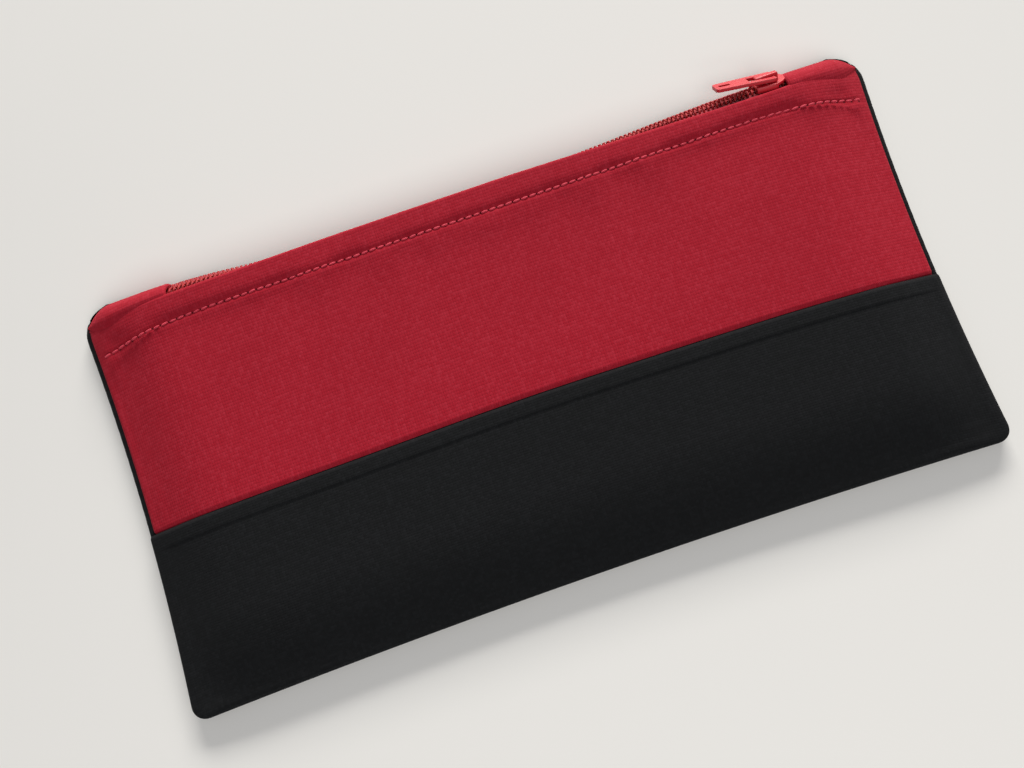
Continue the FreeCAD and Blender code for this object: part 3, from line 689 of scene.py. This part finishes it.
def lowerGrid():
    # the black panel of the front wall, from the bottom seam to the panels' seam
    width, bottom, roll = case["halfLength"], case["bottomY"], blackRim[2]
    columns = nominalColumns(roll)
    rows = np.array(rimSteps(roll) + [1.7, 2.4, 3.3, 4.5])
    height = -bottom + panelSeam["y"]
    toSeam = [6, 5.4, 5.0, 4.6, 4.2, 3.8, 3.4, 2.8, 2.0, 1.4, 1.0, 0.7, 0.45, 0.25, 0.1, 0.0]
    last = height - np.array(toSeam)
    rows = np.concatenate([rows, spaced(rows[-1], last[0], 1.4)[1:-1], last])
    x0, v = np.meshgrid(columns, rows / height)
    low = v * height
    side = width - np.abs(x0)
    corner, x0, lowRound, near = roundCorner(x0, low, case["bottomCorner"])
    start = bottom + case["bottomBow"] * (1 - (x0 / width) ** 2)
    y = lerp(start, seamY(x0), lowRound / height)
    x = x0 * sideX(y) / width
    low = np.where(corner & (near < 1.3), near, low)
    z = frontHeight(x, y, np.where(corner, near, side), low, *blackRim)
    above = seamY(x) - y
    z = z - panelSeam["dip"] * np.exp(-(above / panelSeam["dipWidth"]) ** 2)
    ends = margin(side - 2, 8)
    turnedUnder = (1 - smooth((above - panelSeam["allowance"]) / 0.8)) * smooth(above)
    z = z + panelSeam["step"] * ends * turnedUnder
    return np.dstack([x, y, z]), x0


def upperGrid():
    # the red panel of the front wall, from the panels' seam to the fold and under it
    width, inset = case["halfLength"], case["redInset"]
    columns = nominalColumns(redRim[2])
    low = np.array([0.0, 0.1, 0.25, 0.45, 0.7, 1.0, 1.4, 2.0, 2.8])
    reach = stitchRow["y"] - panelSeam["y"]
    near = reach - np.array([2.2, 1.5, 1.0, 0.7, 0.45, 0.2, 0.0])
    toStitch = np.concatenate([low, spaced(low[-1], near[0], 1.35)[1:-1], near]) / reach
    toFold = np.array([0.2, 0.45, 0.7, 1.0, 1.5, 2.2, 3.0, 3.8, 4.6, 5.2]) / 5.9
    rowsX = []
    rowsY = []
    side0 = width - np.abs(columns)
    radius = lerp(0.45, frontFold["radius"], margin(side0, 9))

    def across(y):
        return columns / width * (sideX(y) - topRound(y) * 0.9 - inset)

    sewn = stitchY(columns * (sideX(stitchRow["y"]) - inset) / width)
    for share in toStitch:
        y = lerp(seamY(columns), sewn, share)
        rowsX.append(across(y))
        rowsY.append(y)
    for share in toFold:
        y = lerp(sewn, foldY(columns) - radius, share / toFold[-1])
        rowsX.append(across(y))
        rowsY.append(y)
    x, y = np.array(rowsX), np.array(rowsY)
    z = frontHeight(x, y, np.broadcast_to(side0, x.shape), y - case["bottomY"], *redRim)
    z = z - panelSeam["dip"] * np.exp(-((y - seamY(x)) / panelSeam["dipWidth"]) ** 2)
    points = np.dstack([x, y, z])
    fold = foldedOver(points[-1], radius, -1, 20, 0.983, (1.5, 3.5, frontFold["under"]), 0.02)
    points = np.concatenate([points, fold])
    return points, np.broadcast_to(columns, points.shape[:2])


def clothPlaces(points):
    # u is the place along the case, v the way along the cloth from its first row
    return np.dstack([points[:, :, 0], rowLengths(points, 0)])


def backSheet(name, points, uv, thickness, material, node, flat):
    # a sheet that stays with the back wall
    piece = place(name, clothMesh(name, points, uv, thickness), material)
    if node:
        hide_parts(node)
    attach(piece, "back_wall")


def halves(name, points, uv, thickness, material, nodes, stitches=None):
    # the left and right half of a sheet
    middle = points.shape[1] // 2
    normals = gridNormals(points)
    for word, part in (("left", slice(0, middle + 1)), ("right", slice(middle, None))):
        mesh = clothMesh(f"{name}_{word}", points[:, part], uv[:, part], thickness, normals[:, part],
                         None if stitches is None else stitches[:, part])
        piece = place(f"{name}_{word}", mesh, material)
        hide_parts(*nodes)
        bendWithMouth(piece)


def bendWithMouth(piece):
    height = case["height"] / 2 * mm
    y = zipPath["y"] * mm
    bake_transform(piece)


def frontWall():
    points, x0 = lowerGrid()
    uv = np.dstack([x0, rowLengths(points, -1)])
    halves("front_lower", points, uv, case["canvas"], "black_canvas",
           ["front_lower_panel"])
    points, x0 = upperGrid()
    uv = np.dstack([x0, rowLengths(points, 0)])
    aside = np.abs(points[:, :, 1] - stitchY(points[:, :, 0]))
    stitches = np.dstack([points[:, :, 0] + stitchRow["pitch"] / 2, aside])
    fadeOut = (points[:, :, 0] < stitchRow["leftEnd"]) | (points[:, :, 0] > stitchRow["rightEnd"])
    underFold = np.arange(len(points))[:, None] > len(points) - 11
    farAway = 50.0  # beyond the reach of any hole
    stitches[:, :, 1] += np.where(fadeOut | underFold, farAway, 0.0)
    halves("front_upper", points, uv, case["canvas"] * 0.95, "red_canvas",
           ["front_upper_panel"], stitches)


backEdge = {
    "roll": 1.2,  # radius of the turned edge
    "lift": 1.65,  # height at which it is widest
    "rim": 0.42,  # how far the cloth rises to it
}


def backWall():
    # the back panel, flat on the table, with a hem at the zip and its edges rolled up to the side seams
    width, bottom, top = case["halfLength"], case["bottomY"], case["topY"]
    roll = backEdge["roll"]
    lift = backEdge["lift"]
    rim = backEdge["rim"]
    columns = nominalColumns(roll, 1.9)
    rows = np.array(rimSteps(roll) + [1.7, 2.4, 3.3, 4.5, 6.0])
    height = top - bottom
    upper = height - np.array([9.0, 7.0, 5.0, 3.5, 2.2, 1.3, 0.6, 0.0])
    rows = np.concatenate([rows, spaced(rows[-1], upper[0], 2.0)[1:-1], upper])
    x0, low = np.meshgrid(columns, rows)
    near = np.minimum(width - np.abs(x0), low)
    lowNow = low
    xNow = x0
    for radius, isTop in ((case["bottomCorner"], False), (case["topCorner"], True)):
        corner, xRound, moved, rounded = roundCorner(x0, height - low if isTop else low, radius)
        xNow = np.where(corner, xRound, xNow)
        lowNow = np.where(corner, height - moved if isTop else moved, lowNow)
        near = np.where(corner, rounded, near)
    start = bottom + case["bottomBow"] * (1 - (xNow / width) ** 2)
    y = lerp(start, top, lowNow / height)
    x = xNow * sideX(y) / width
    shrink = (top - backEdgeY(x)) * smooth((width - np.abs(xNow) - 6) / 20)
    y = y - shrink * smooth((lowNow - height + 25) / 25)
    rise = rim * (1 - margin(near, case["backMargin"]))
    edge = np.clip(near / roll, 0, 1)
    z = rise + (lift - rim) * (1 - np.sqrt(np.clip(1 - (1 - edge) ** 2, 0, 1)))
    curl = np.clip(1 - (height - low) / 14, 0, 1)
    z = z + 0.5 * curl ** 2 * margin(near, 6)
    points = np.dstack([x, y, z])
    # the hem folds up and in, between the two rounded corners
    radius = 0.85 * smooth((width - np.abs(columns) - 5) / 9) + 0.12
    points = np.concatenate([points, foldedOver(points[-1], radius, 1, 22, 0.995, (2.0, 6.0))])
    points = points[:, ::-1]  # so that the outer side faces down
    backSheet("back_panel_canvas", points, clothPlaces(points), case["canvas"], "black_canvas",
              "back_panel", (0.2296, 0.1235))
    edgeRoll()


def loopPoints(inset):
    # the outline from the left corner beside the zip, down, along the bottom and up to the right one
    width, bottom, top = case["halfLength"], case["bottomY"], case["topY"]
    small, large = case["bottomCorner"], case["topCorner"]
    start = math.radians(38)
    line = []

    def arc(cx, cy, radius, first, last):
        count = max(4, int(abs(last - first) * radius / 0.9))
        for angle in np.linspace(first, last, count + 1):
            line.append((cx + (radius - inset) * math.cos(angle), cy + (radius - inset) * math.sin(angle)))

    arc(-width + large, top - large, large, math.pi - start, math.pi)
    line.extend((-width + inset, y) for y in spaced(top - large, bottom + small, 1.3)[1:-1])
    arc(-width + small, bottom + small, small, math.pi, 1.5 * math.pi)
    line.extend((x, bottom + inset) for x in spaced(-width + small, width - small, 1.3)[1:-1])
    arc(width - small, bottom + small, small, 1.5 * math.pi, 2 * math.pi)
    line.extend((width - inset, y) for y in spaced(bottom + small, top - large, 1.3)[1:-1])
    arc(width - large, top - large, large, 0, start)
    x0, y0 = np.array(line).T
    y = y0 + case["bottomBow"] * (1 - (x0 / width) ** 2) * (top - y0) / (top - bottom)
    return x0 * sideX(y) / width, y


def edgeRoll():
    # the turned edge of the back canvas, seen beside the red panel
    radius, lift = backEdge["roll"], backEdge["lift"]
    rows = []
    for angle in np.radians([-8, 12, 32, 52, 72, 92, 112, 135]):
        x, y = loopPoints(radius * (1 - math.cos(angle)))
        pucker = 0.10 * np.sin(np.arange(len(x)) * 2.1) * math.sin(max(angle, 0))
        rows.append(np.stack([x, y, lift + radius * math.sin(angle) * 0.95 + pucker], -1))
    points = np.array(rows)
    along = np.cumsum(np.concatenate([[0], np.linalg.norm(np.diff(points[0], axis=0), axis=-1)]))
    uv = np.dstack([np.broadcast_to(along, points.shape[:2]), rowLengths(points, 0)])
    backSheet("side_seam_roll", points, uv, 0.6, "black_canvas",
              None, (0.45, 0.0105))


studio = {
    "camera": (-9.76, -21.95, 218.45),
    "pan": math.radians(-1.24),
    "tilt": math.radians(5.83),
    "turn": math.radians(19.12),
    "lens": 28.125,
    "sensor": 36,
    "fill": 0.22,
    "fillColour": (0.86, 0.9, 1.0, 1.0),
    "floorDepth": -0.05,
    "floorReach": 3000,
    "lamps": [
        ("window", (0.55, 1.93, 0.62), (1.4, 0.4), 70.0, (1.0, 0.98, 0.95)),
        ("ceiling", (0.0, -0.42, 0.6), (0.5, 0.5), 2.5, (1.0, 0.985, 0.965)),
    ],
}


def setStage():
    ground = bpy.data.meshes.new("floor")
    far, depth = studio["floorReach"] * mm, studio["floorDepth"] * mm
    corners = [(-far, -far, depth), (far, -far, depth), (far, far, depth), (-far, far, depth)]
    ground.from_pydata(corners, [], [(0, 1, 2, 3)])
    floor = bpy.data.objects.new("floor", ground)
    bpy.context.scene.collection.objects.link(floor)
    ground.materials.append(floorFinish("floor_paper", colours["floor"]))
    world = bpy.data.worlds.new("studio")
    world.use_nodes = True
    background = world.node_tree.nodes["Background"].inputs
    background[0].default_value = studio["fillColour"]
    background[1].default_value = studio["fill"]
    bpy.context.scene.world = world
    for name, where, size, power, colour in studio["lamps"]:
        lamp = bpy.data.lights.new(name, "AREA")
        lamp.shape = "RECTANGLE"
        lamp.size, lamp.size_y = size
        lamp.energy = power
        lamp.color = colour
        holder = bpy.data.objects.new(name, lamp)
        holder.location = where
        holder.rotation_euler = (-Vector(where)).to_track_quat("-Z", "Y").to_euler()
        bpy.context.scene.collection.objects.link(holder)
    bpy.context.scene.view_settings.view_transform = "Standard"
    lens = bpy.data.cameras.new("camera")
    lens.lens = studio["lens"]
    lens.sensor_width = studio["sensor"]
    lens.clip_start = 0.01
    camera = bpy.data.objects.new("camera", lens)
    turned = (Matrix.Rotation(studio["pan"], 4, "Y") @ Matrix.Rotation(-studio["tilt"], 4, "X")
              @ Matrix.Rotation(studio["turn"], 4, "Z"))
    camera.matrix_world = Matrix.Translation(Vector(studio["camera"]) * mm) @ turned.transposed()
    bpy.context.scene.collection.objects.link(camera)
    bpy.context.scene.camera = camera


class Repeat(Nodes):
    # a geometry node tree that puts one small shape on every point of a path
    def __init__(self, name, *lengths):
        self.tree = bpy.data.node_groups.new(name, "GeometryNodeTree")
        face = self.tree.interface
        face.new_socket("Points", in_out="INPUT", socket_type="NodeSocketGeometry")
        kinds = {word: "Float" for word in (*lengths, "Wobble")}
        kinds.update(Seed="Int", Material="Material")
        self.sockets = {}
        for word, kind in kinds.items():
            made = face.new_socket(word, in_out="INPUT", socket_type="NodeSocket" + kind)
            self.sockets[word] = made.identifier
        face.new_socket("Geometry", in_out="OUTPUT", socket_type="NodeSocketGeometry")
        self.given = self.tree.nodes.new("NodeGroupInput").outputs
        self.result = self.tree.nodes.new("NodeGroupOutput").inputs

    def scatter(self, shape):
        smoothShape = self.node("GeometryNodeSetShadeSmooth", None, {0: shape})
        turn = self.node("GeometryNodeInputNamedAttribute", {"data_type": "FLOAT_VECTOR"}, {"Name": "turn"})
        wobble = self.node("ShaderNodeCombineXYZ", None, dict.fromkeys(range(3), self.given["Wobble"]))
        back = self.node("ShaderNodeVectorMath", {"operation": "SCALE"},
                         {0: wobble.outputs[0], "Scale": -1.0})
        chance = self.node("FunctionNodeRandomValue", {"data_type": "FLOAT_VECTOR"},
                           {0: back.outputs[0], 1: wobble.outputs[0], "Seed": self.given["Seed"]})
        turned = self.node("ShaderNodeVectorMath", {"operation": "ADD"},
                           {0: turn.outputs[0], 1: chance.outputs[0]})
        rotation = self.node("FunctionNodeEulerToRotation", None, {0: turned.outputs[0]})
        grow = self.node("FunctionNodeRandomValue", {"data_type": "FLOAT"},
                         {2: 0.93, 3: 1.07, "Seed": self.given["Seed"]})
        placed = self.node("GeometryNodeInstanceOnPoints", None,
                           {"Points": self.given["Points"], "Instance": smoothShape.outputs[0],
                            "Rotation": rotation.outputs[0], "Scale": grow.outputs[1]})
        real = self.node("GeometryNodeRealizeInstances", None, {0: placed.outputs[0]})
        dressed = self.node("GeometryNodeSetMaterial", None,
                            {"Geometry": real.outputs[0], "Material": self.given["Material"]})
        self.tree.links.new(dressed.outputs[0], self.result[0])
        return self


def stitchTree():
    made = Repeat("stitches", "Length", "Width", "Height")
    ball = made.node("GeometryNodeMeshUVSphere", None, {"Segments": 8, "Rings": 6, "Radius": 0.5})
    turned = made.node("GeometryNodeTransform", None,
                       {"Geometry": ball.outputs[0], "Rotation": (0, math.pi / 2, 0)})
    size = made.node("ShaderNodeCombineXYZ", None,
                     {0: made.given["Length"], 1: made.given["Width"], 2: made.given["Height"]})
    capsule = made.node("GeometryNodeTransform", None,
                        {"Geometry": turned.outputs[0], "Scale": size.outputs[0]})
    return made.scatter(capsule.outputs[0])


def coilTree():
    made = Repeat("coil", "Width", "Height", "Wire")
    loop = made.node("GeometryNodeCurvePrimitiveCircle", None, {"Resolution": 12, "Radius": 0.5})
    size = made.node("ShaderNodeCombineXYZ", None, {0: made.given["Height"], 1: made.given["Width"], 2: 1.0})
    flat = made.node("GeometryNodeTransform", None,
                     {"Geometry": loop.outputs[0], "Scale": size.outputs[0]})
    upright = made.node("GeometryNodeTransform", None,
                        {"Geometry": flat.outputs[0], "Rotation": (0, math.pi / 2, 0)})
    wire = made.node("GeometryNodeCurvePrimitiveCircle", None,
                     {"Resolution": 6, "Radius": made.given["Wire"]})
    swept = made.node("GeometryNodeCurveToMesh", None,
                      {"Curve": upright.outputs[0], "Profile Curve": wire.outputs[0]})
    return made.scatter(swept.outputs[0])


def repeated(name, tree, places, turns, material, sizes):
    # one place and one turn, as Euler angles, for every repeat
    points = bpy.data.meshes.new(name + "_path")
    points.from_pydata((np.asarray(places) * mm).tolist(), [], [])
    turn = points.attributes.new("turn", "FLOAT_VECTOR", "POINT")
    turn.data.foreach_set("vector", np.asarray(turns, np.float32).ravel())
    source = bpy.data.objects.new(name + "_path", points)
    bpy.context.scene.collection.objects.link(source)
    modifier = source.modifiers.new("repeat", "NODES")
    modifier.node_group = tree.tree
    for word, value in sizes.items():
        modifier[tree.sockets[word]] = value if word in ("Wobble", "Seed") else value * mm
    modifier[tree.sockets["Material"]] = materials[material]
    bpy.context.view_layer.update()
    view = bpy.context.evaluated_depsgraph_get()
    mesh = bpy.data.meshes.new_from_object(source.evaluated_get(view), depsgraph=view)
    bpy.data.objects.remove(source)
    mesh.name = name
    return place(name, mesh, material)


def anglesOf(along, up=None):
    # Euler angles of frames whose X runs along and whose Z is nearest to up, or to the case's Z
    turns = []
    for t, w in zip(along, np.tile([0.0, 0.0, 1.0], (len(along), 1)) if up is None else up):
        t = Vector(t).normalized()
        a = Vector(w).cross(t).normalized()
        turns.append(Matrix((t, a, t.cross(a))).transposed().to_euler())
    return turns


def zipTurns(xs, acrossZip, outOfZip, yaw=0.0):
    here = zipPoint(xs, acrossZip, outOfZip)
    along = zipPoint(xs + 0.5, acrossZip, outOfZip) - zipPoint(xs - 0.5, acrossZip, outOfZip)
    over = zipPoint(xs, acrossZip + 0.5, outOfZip) - zipPoint(xs, acrossZip - 0.5, outOfZip)
    along = along / np.linalg.norm(along, axis=1, keepdims=True)
    up = np.cross(along, over)
    leaning = along * math.cos(yaw) + over * math.sin(yaw)
    return here, anglesOf(leaning, up)


zipParts = {
    "coilMiddle": 0.86,
    "coilOut": 0.3,
    "slant": math.radians(14),
    "threadAcross": 1.42,
    "threadOut": 0.78,
    "tapeEdge": 0.12,
    "tape": 0.3,
    "tapeOut": -0.2,
    "coilSizes": {"Width": 1.95, "Height": 0.92, "Wire": 0.27, "Wobble": 0.03, "Seed": 3},
    "threadSizes": {"Length": 1.05, "Width": 0.3, "Height": 0.24, "Wobble": 0.06, "Seed": 5},
}


def halfRows(start, stop, pitch, shift=0.0):
    # places along the case, split at its middle
    xs = np.arange(start + pitch / 2 + shift, stop, pitch)
    return {"left": xs[xs < 0], "right": xs[xs >= 0]}


def zipChain():
    coils = coilTree()
    stitches = stitchTree()
    for side, word in ((-1, "front"), (1, "back")):
        shift = zipPath["pitch"] / 2 if side > 0 else 0.0
        rows = halfRows(zipPath["left"], zipPath["right"], zipPath["pitch"], shift)
        if side > 0:
            rows = {"whole": np.concatenate([rows["left"], rows["right"]])}
        for part, xs in rows.items():
            spots, turns = zipTurns(xs, side * zipParts["coilMiddle"], zipParts["coilOut"],
                                    side * zipParts["slant"])
            coil = repeated(f"{word}_coil_{part}", coils, spots, turns, "zip_coil", zipParts["coilSizes"])
            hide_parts(f"{word}_coil")
            xs = xs[xs < zipPath["right"] - 6]
            spots, turns = zipTurns(xs, side * zipParts["threadAcross"], zipParts["threadOut"])
            thread = repeated(f"{word}_coil_stitching_{part}", stitches, spots, turns, "zip_thread",
                              zipParts["threadSizes"])
            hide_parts(f"{word}_coil_stitching")
            for piece in (coil, thread):
                if side > 0:
                    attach(piece, "back_wall")
                else:
                    bendWithMouth(piece)
    return stitches


def tapeGrid(xs, widths, edge, level, steps):
    # a tape from the chain to inside a wall; steps are shares of the way there, in Y and in Z
    rows = [zipPoint(xs, a, zipParts["tapeOut"]) for a in widths]
    tuck = rows[-1]
    for inY, inZ in steps:
        rows.append(np.stack([xs, lerp(tuck[:, 1], edge, inY), lerp(tuck[:, 2], level, inZ)], -1))
    return rows


def zipTapes():
    ends = zipPath["left"] - 2, zipPath["right"] + 2
    xs = np.concatenate([spaced(ends[0], 0, 1.2)[:-1], spaced(0, ends[1], 1.2)])
    widths = np.array([zipParts["tapeEdge"], 0.7, 1.4, 2.0, 2.6, 3.2, 3.8])
    inWall = (4.5, 7.0)
    height = frontHeight(xs, foldY(xs) - 1, case["halfLength"] - np.abs(xs), np.full(len(xs), 50.0))
    level = height - 2 * frontFold["radius"] - 0.12
    rows = tapeGrid(xs, -widths[:-1], foldY(xs) - 2.6, level, [(b, smooth(b)) for b in (0.4, 0.75, 1.0)])
    rows += [np.stack([xs, foldY(xs) - back, level], -1) for back in inWall]
    points = np.array(rows)[::-1]
    halves("front_zip_tape", points, clothPlaces(points), zipParts["tape"], "zip_tape",
           ["front_zip_tape"])
    level = np.full(len(xs), 2.2)
    rows = tapeGrid(xs, widths, backEdgeY(xs) - 2.4, level, [(b ** 2, b) for b in (0.35, 0.7, 1.0)])
    rows += [np.stack([xs, backEdgeY(xs) - back, level], -1) for back in inWall]
    points = np.array(rows)
    backSheet("back_zip_tape_twill", points, clothPlaces(points), zipParts["tape"], "zip_tape",
              "back_zip_tape", (0.1832, 0.0125))


tab = {
    "roll": 0.75,  # radius of the turned-in end
    "turnedIn": 2.5,
    "canvas": 0.7,
    "line": [(-0.55, -1.5), (-0.28, -0.6), (-0.05, -0.2), (0.14, -0.22), (0.42, -0.95), (0.66, -2.35),
             (0.85, -4.1), (0.97, -5.9), (1.0, -7.3), (0.97, -8.2)],  # share of the way back, and drop
}


def smoothLine(points, steps):
    # a curve near the given points, with its ends on the first and the last
    points = np.asarray(points, float)
    padded = np.concatenate([[2 * points[0] - points[1]], points, [2 * points[-1] - points[-2]]])
    line = []
    for k in range(len(points) - 1):
        a, b, c, d = padded[k:k + 4]
        for t in np.linspace(0, 1, steps, endpoint=False):
            line.append(0.5 * (2 * b + (c - a) * t + (2 * a - 5 * b + 4 * c - d) * t ** 2
                               + (3 * b - a - 3 * c + d) * t ** 3))
    return np.array(line + [points[-1]])


def endTab(side, word, innerX):
    reach, radius = sideX(55.0) - 1.35, case["topCorner"]
    centreX, centreY = reach - radius, case["topY"] - 0.35 - radius
    last = centreX + math.sqrt(radius ** 2 - (frontFold["ends"] + 0.1 - centreY) ** 2)
    first = abs(innerX) + tab["roll"]
    share = np.concatenate([spaced(0, 0.8, 0.045), 0.8 + 0.2 * np.sin(spaced(0, math.pi / 2, 0.2))[1:]])
    xs = side * lerp(first, last, share)
    pastCentre = np.clip(np.abs(xs) - centreX, 0, radius)
    outline = centreY + np.sqrt(radius ** 2 - pastCentre ** 2)
    edge = foldY(xs)
    height = frontHeight(xs, edge - 1, case["halfLength"] - np.abs(xs), np.full(len(xs), 50.0))
    fall = (height - 3.0) / (case["height"] - 3.0)
    height = height - 0.7 * smooth((np.abs(xs) - last + 7) / 7)
    rows = []
    for along, drop in smoothLine(tab["line"], 3):
        y = edge + along * (outline - edge)
        rows.append(np.stack([xs, y, height + drop * np.clip(fall, 0.08, 1)], -1))
    points = np.array(rows)
    if side < 0:
        points = points[:, ::-1]
    normals = gridNormals(points)
    at = 0 if side > 0 else -1
    rim, way = points[:, at], normals[:, at]
    roll = []
    for angle in np.radians(spaced(0, 180, 22)[1:]):
        moved = rim - way * tab["roll"] * (1 - math.cos(angle))
        moved = moved - np.array([side * tab["roll"] * math.sin(angle), 0, 0])
        roll.append(moved)
    roll.append(rim - way * 2 * tab["roll"] + np.array([side * tab["turnedIn"], 0, 0]))
    roll = np.array(roll).transpose(1, 0, 2)
    points = np.concatenate([roll[:, ::-1], points] if side > 0 else [points, roll], axis=1)
    along = np.concatenate([[0], np.cumsum(np.linalg.norm(np.diff(points[6], axis=0), axis=-1))])
    uv = np.dstack([np.broadcast_to(along, points.shape[:2]), rowLengths(points, 0)])
    backSheet(f"{word}_end_tab_canvas", points, uv, tab["canvas"], "red_canvas", f"{word}_end_tab",
              (round(last - first + 5, 1) * mm, 0.0125))


def topstitching(tree):
    sizes = {word: stitchRow[word.lower()] for word in ("Length", "Width", "Height")}
    sizes.update(Wobble=0.07, Seed=11)
    for part, xs in halfRows(stitchRow["leftEnd"], stitchRow["rightEnd"], stitchRow["pitch"]).items():
        # each stitch lies between two needle holes
        xs = (np.floor(xs / stitchRow["pitch"]) + 0.5) * stitchRow["pitch"]
        xs = xs if part == "right" else xs[xs < 0]
        spots = np.stack([xs, stitchY(xs), seamSurface(xs) + 0.02], -1)
        along = np.stack([np.ones(len(xs)), stitchY(xs + 0.5) - stitchY(xs - 0.5),
                          (seamSurface(xs + 1) - seamSurface(xs - 1)) / 2], -1)
        along[:, 1] += math.tan(stitchRow["slant"])
        piece = repeated(f"front_topstitching_{part}", tree, spots, anglesOf(along), "red_thread", sizes)
        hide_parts("front_topstitching")
        bendWithMouth(piece)


def seamSurface(x):
    # height of the front wall along its row of stitches
    return frontHeight(x, stitchY(x), case["halfLength"] - np.abs(x), np.full(np.shape(x), 50.0))


hiddenStitch = {
    "pitch": 2.5,
    "inset": 2.3,  # of the side and bottom seam, from the edge
    "level": 2.35,
    "backLevel": 0.12,
    "panelBelow": 1.6,
    "sizes": {"Length": 2.0, "Width": 0.42, "Height": 0.3, "Wobble": 0.05, "Seed": 17},
}


def hiddenSeams(tree):
    pitch = hiddenStitch["pitch"]

    def sewn(name, node, spots, along):
        turns = anglesOf(np.broadcast_to(along, spots.shape))
        piece = repeated(name, tree, spots, turns, "black_thread", hiddenStitch["sizes"])
        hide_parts(node)
        return piece

    xs = np.arange(-106, 106, pitch)
    level = np.full(len(xs), hiddenStitch["backLevel"])
    spots = np.stack([xs, backEdgeY(xs) - stitchRow["backInset"], level], -1)
    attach(sewn("back_topstitching_thread", "back_topstitching", spots, (1.0, 0.0, 0.0)), "back_wall")
    for part, xs in halfRows(-104, 104, pitch).items():
        y = seamY(xs) - hiddenStitch["panelBelow"]
        z = frontHeight(xs, y, case["halfLength"] - np.abs(xs), y - case["bottomY"]) - case["canvas"] - 0.2
        piece = sewn(f"panel_seam_thread_{part}", "panel_seam_thread", np.stack([xs, y, z], -1),
                     (1.0, 0.0, 0.0))
        bendWithMouth(piece)
    x, y = loopPoints(hiddenStitch["inset"])
    run = np.concatenate([[0], np.cumsum(np.hypot(np.diff(x), np.diff(y)))])
    at = np.arange(pitch, run[-1] - pitch, pitch)
    level = np.full(len(at), hiddenStitch["level"])
    spots = np.stack([np.interp(at, run, x), np.interp(at, run, y), level], -1)
    ahead = np.stack([np.interp(at + 1, run, x), np.interp(at + 1, run, y), level], -1)
    piece = sewn("side_and_bottom_seam_stitches", "side_and_bottom_seam_thread", spots, ahead - spots)
    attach(piece, "back_wall")


def linings():
    inset = 3.6
    width = case["halfLength"] - inset
    columns = np.concatenate([spaced(-width, 0, 3.0)[:-1], spaced(0, width, 3.0)])
    rows = spaced(0, 1, 0.03)
    x0, v = np.meshgrid(columns, rows)
    low = case["bottomY"] + case["bottomBow"] * (1 - (x0 / case["halfLength"]) ** 2) + inset
    y = lerp(low, foldY(x0) - 2.5, v)
    x = x0 / width * (sideX(y) - topRound(y) - inset)
    side = sideX(y) - np.abs(x)
    z = frontHeight(x, y, side, y - low + inset) - case["canvas"] - 0.75
    z = z - 0.9 * smooth((y - foldY(x0) + 9) / 4)
    points = np.dstack([x, y, z])
    halves("front_lining", points, points[:, :, :2], case["lining"], "lining_cotton",
           ["front_lining"])
    y = lerp(low, backEdgeY(x0) - 2.5, v)
    x = x0 / width * (sideX(y) - topRound(y) - inset)
    side = np.minimum(sideX(y) - np.abs(x), y - low + inset)
    z = backEdge["rim"] * (1 - margin(side, case["backMargin"])) + case["canvas"] + 0.5
    points = np.dstack([x, y, z])
    backSheet("back_lining_cotton", points, points[:, :, :2], case["lining"], "lining_cotton",
              "back_lining", (0.2224, 0.1085))


castParts = {  # the body each rides on, and the rounding of its edges
    "slider_body": ("slider", 0.2),
    "slider_crown": ("slider", 0.22),
    "pull_tab": ("pull", 0.16),
}
keptParts = {
    "lock_spring": "spring_steel",
    "bottom_stop": "stop_metal",
    "top_stops": "stop_metal",
}


def castings():
    for node, (body, bevel) in castParts.items():
        mesh = frame["nodes"][node].data.copy()
        shape = bmesh.new()
        shape.from_mesh(mesh)
        bmesh.ops.remove_doubles(shape, verts=shape.verts, dist=1e-6)
        bmesh.ops.dissolve_limit(shape, angle_limit=math.radians(1.5), verts=shape.verts, edges=shape.edges)
        sharp = []
        for edge in shape.edges:
            if len(edge.link_faces) == 2 and edge.calc_face_angle() > math.radians(28):
                sharp.append(edge)
        bmesh.ops.bevel(shape, geom=sharp, offset=bevel * mm, segments=3, profile=0.5, affect="EDGES",
                        clamp_overlap=True)
        bmesh.ops.triangulate(shape, faces=[f for f in shape.faces if len(f.verts) > 4])
        shape.to_mesh(mesh)
        shape.free()
        if "custom_normal" in mesh.attributes:
            mesh.attributes.remove(mesh.attributes["custom_normal"])
        mesh.shade_smooth()
        mesh.set_sharp_from_angle(angle=math.radians(38))
        mesh.name = node + "_casting"
        piece = place(node + "_casting", mesh, "red_enamel")
        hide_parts(node)
        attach(piece, body)
    for node, material in keptParts.items():
        mesh = frame["nodes"][node].data
        mesh.materials.clear()
        mesh.materials.append(materials[material])


setStage()
foldsAt = settledCloth()
frontWall()
backWall()
print("walls sewn")
stitchNodes = zipChain()
zipTapes()
endTab(-1, "left", zipPath["left"])
endTab(1, "right", zipPath["right"] - 1.9)
print("zip set in")
topstitching(stitchNodes)
hiddenSeams(stitchNodes)
linings()
castings()
print("stitching, linings and slider made")
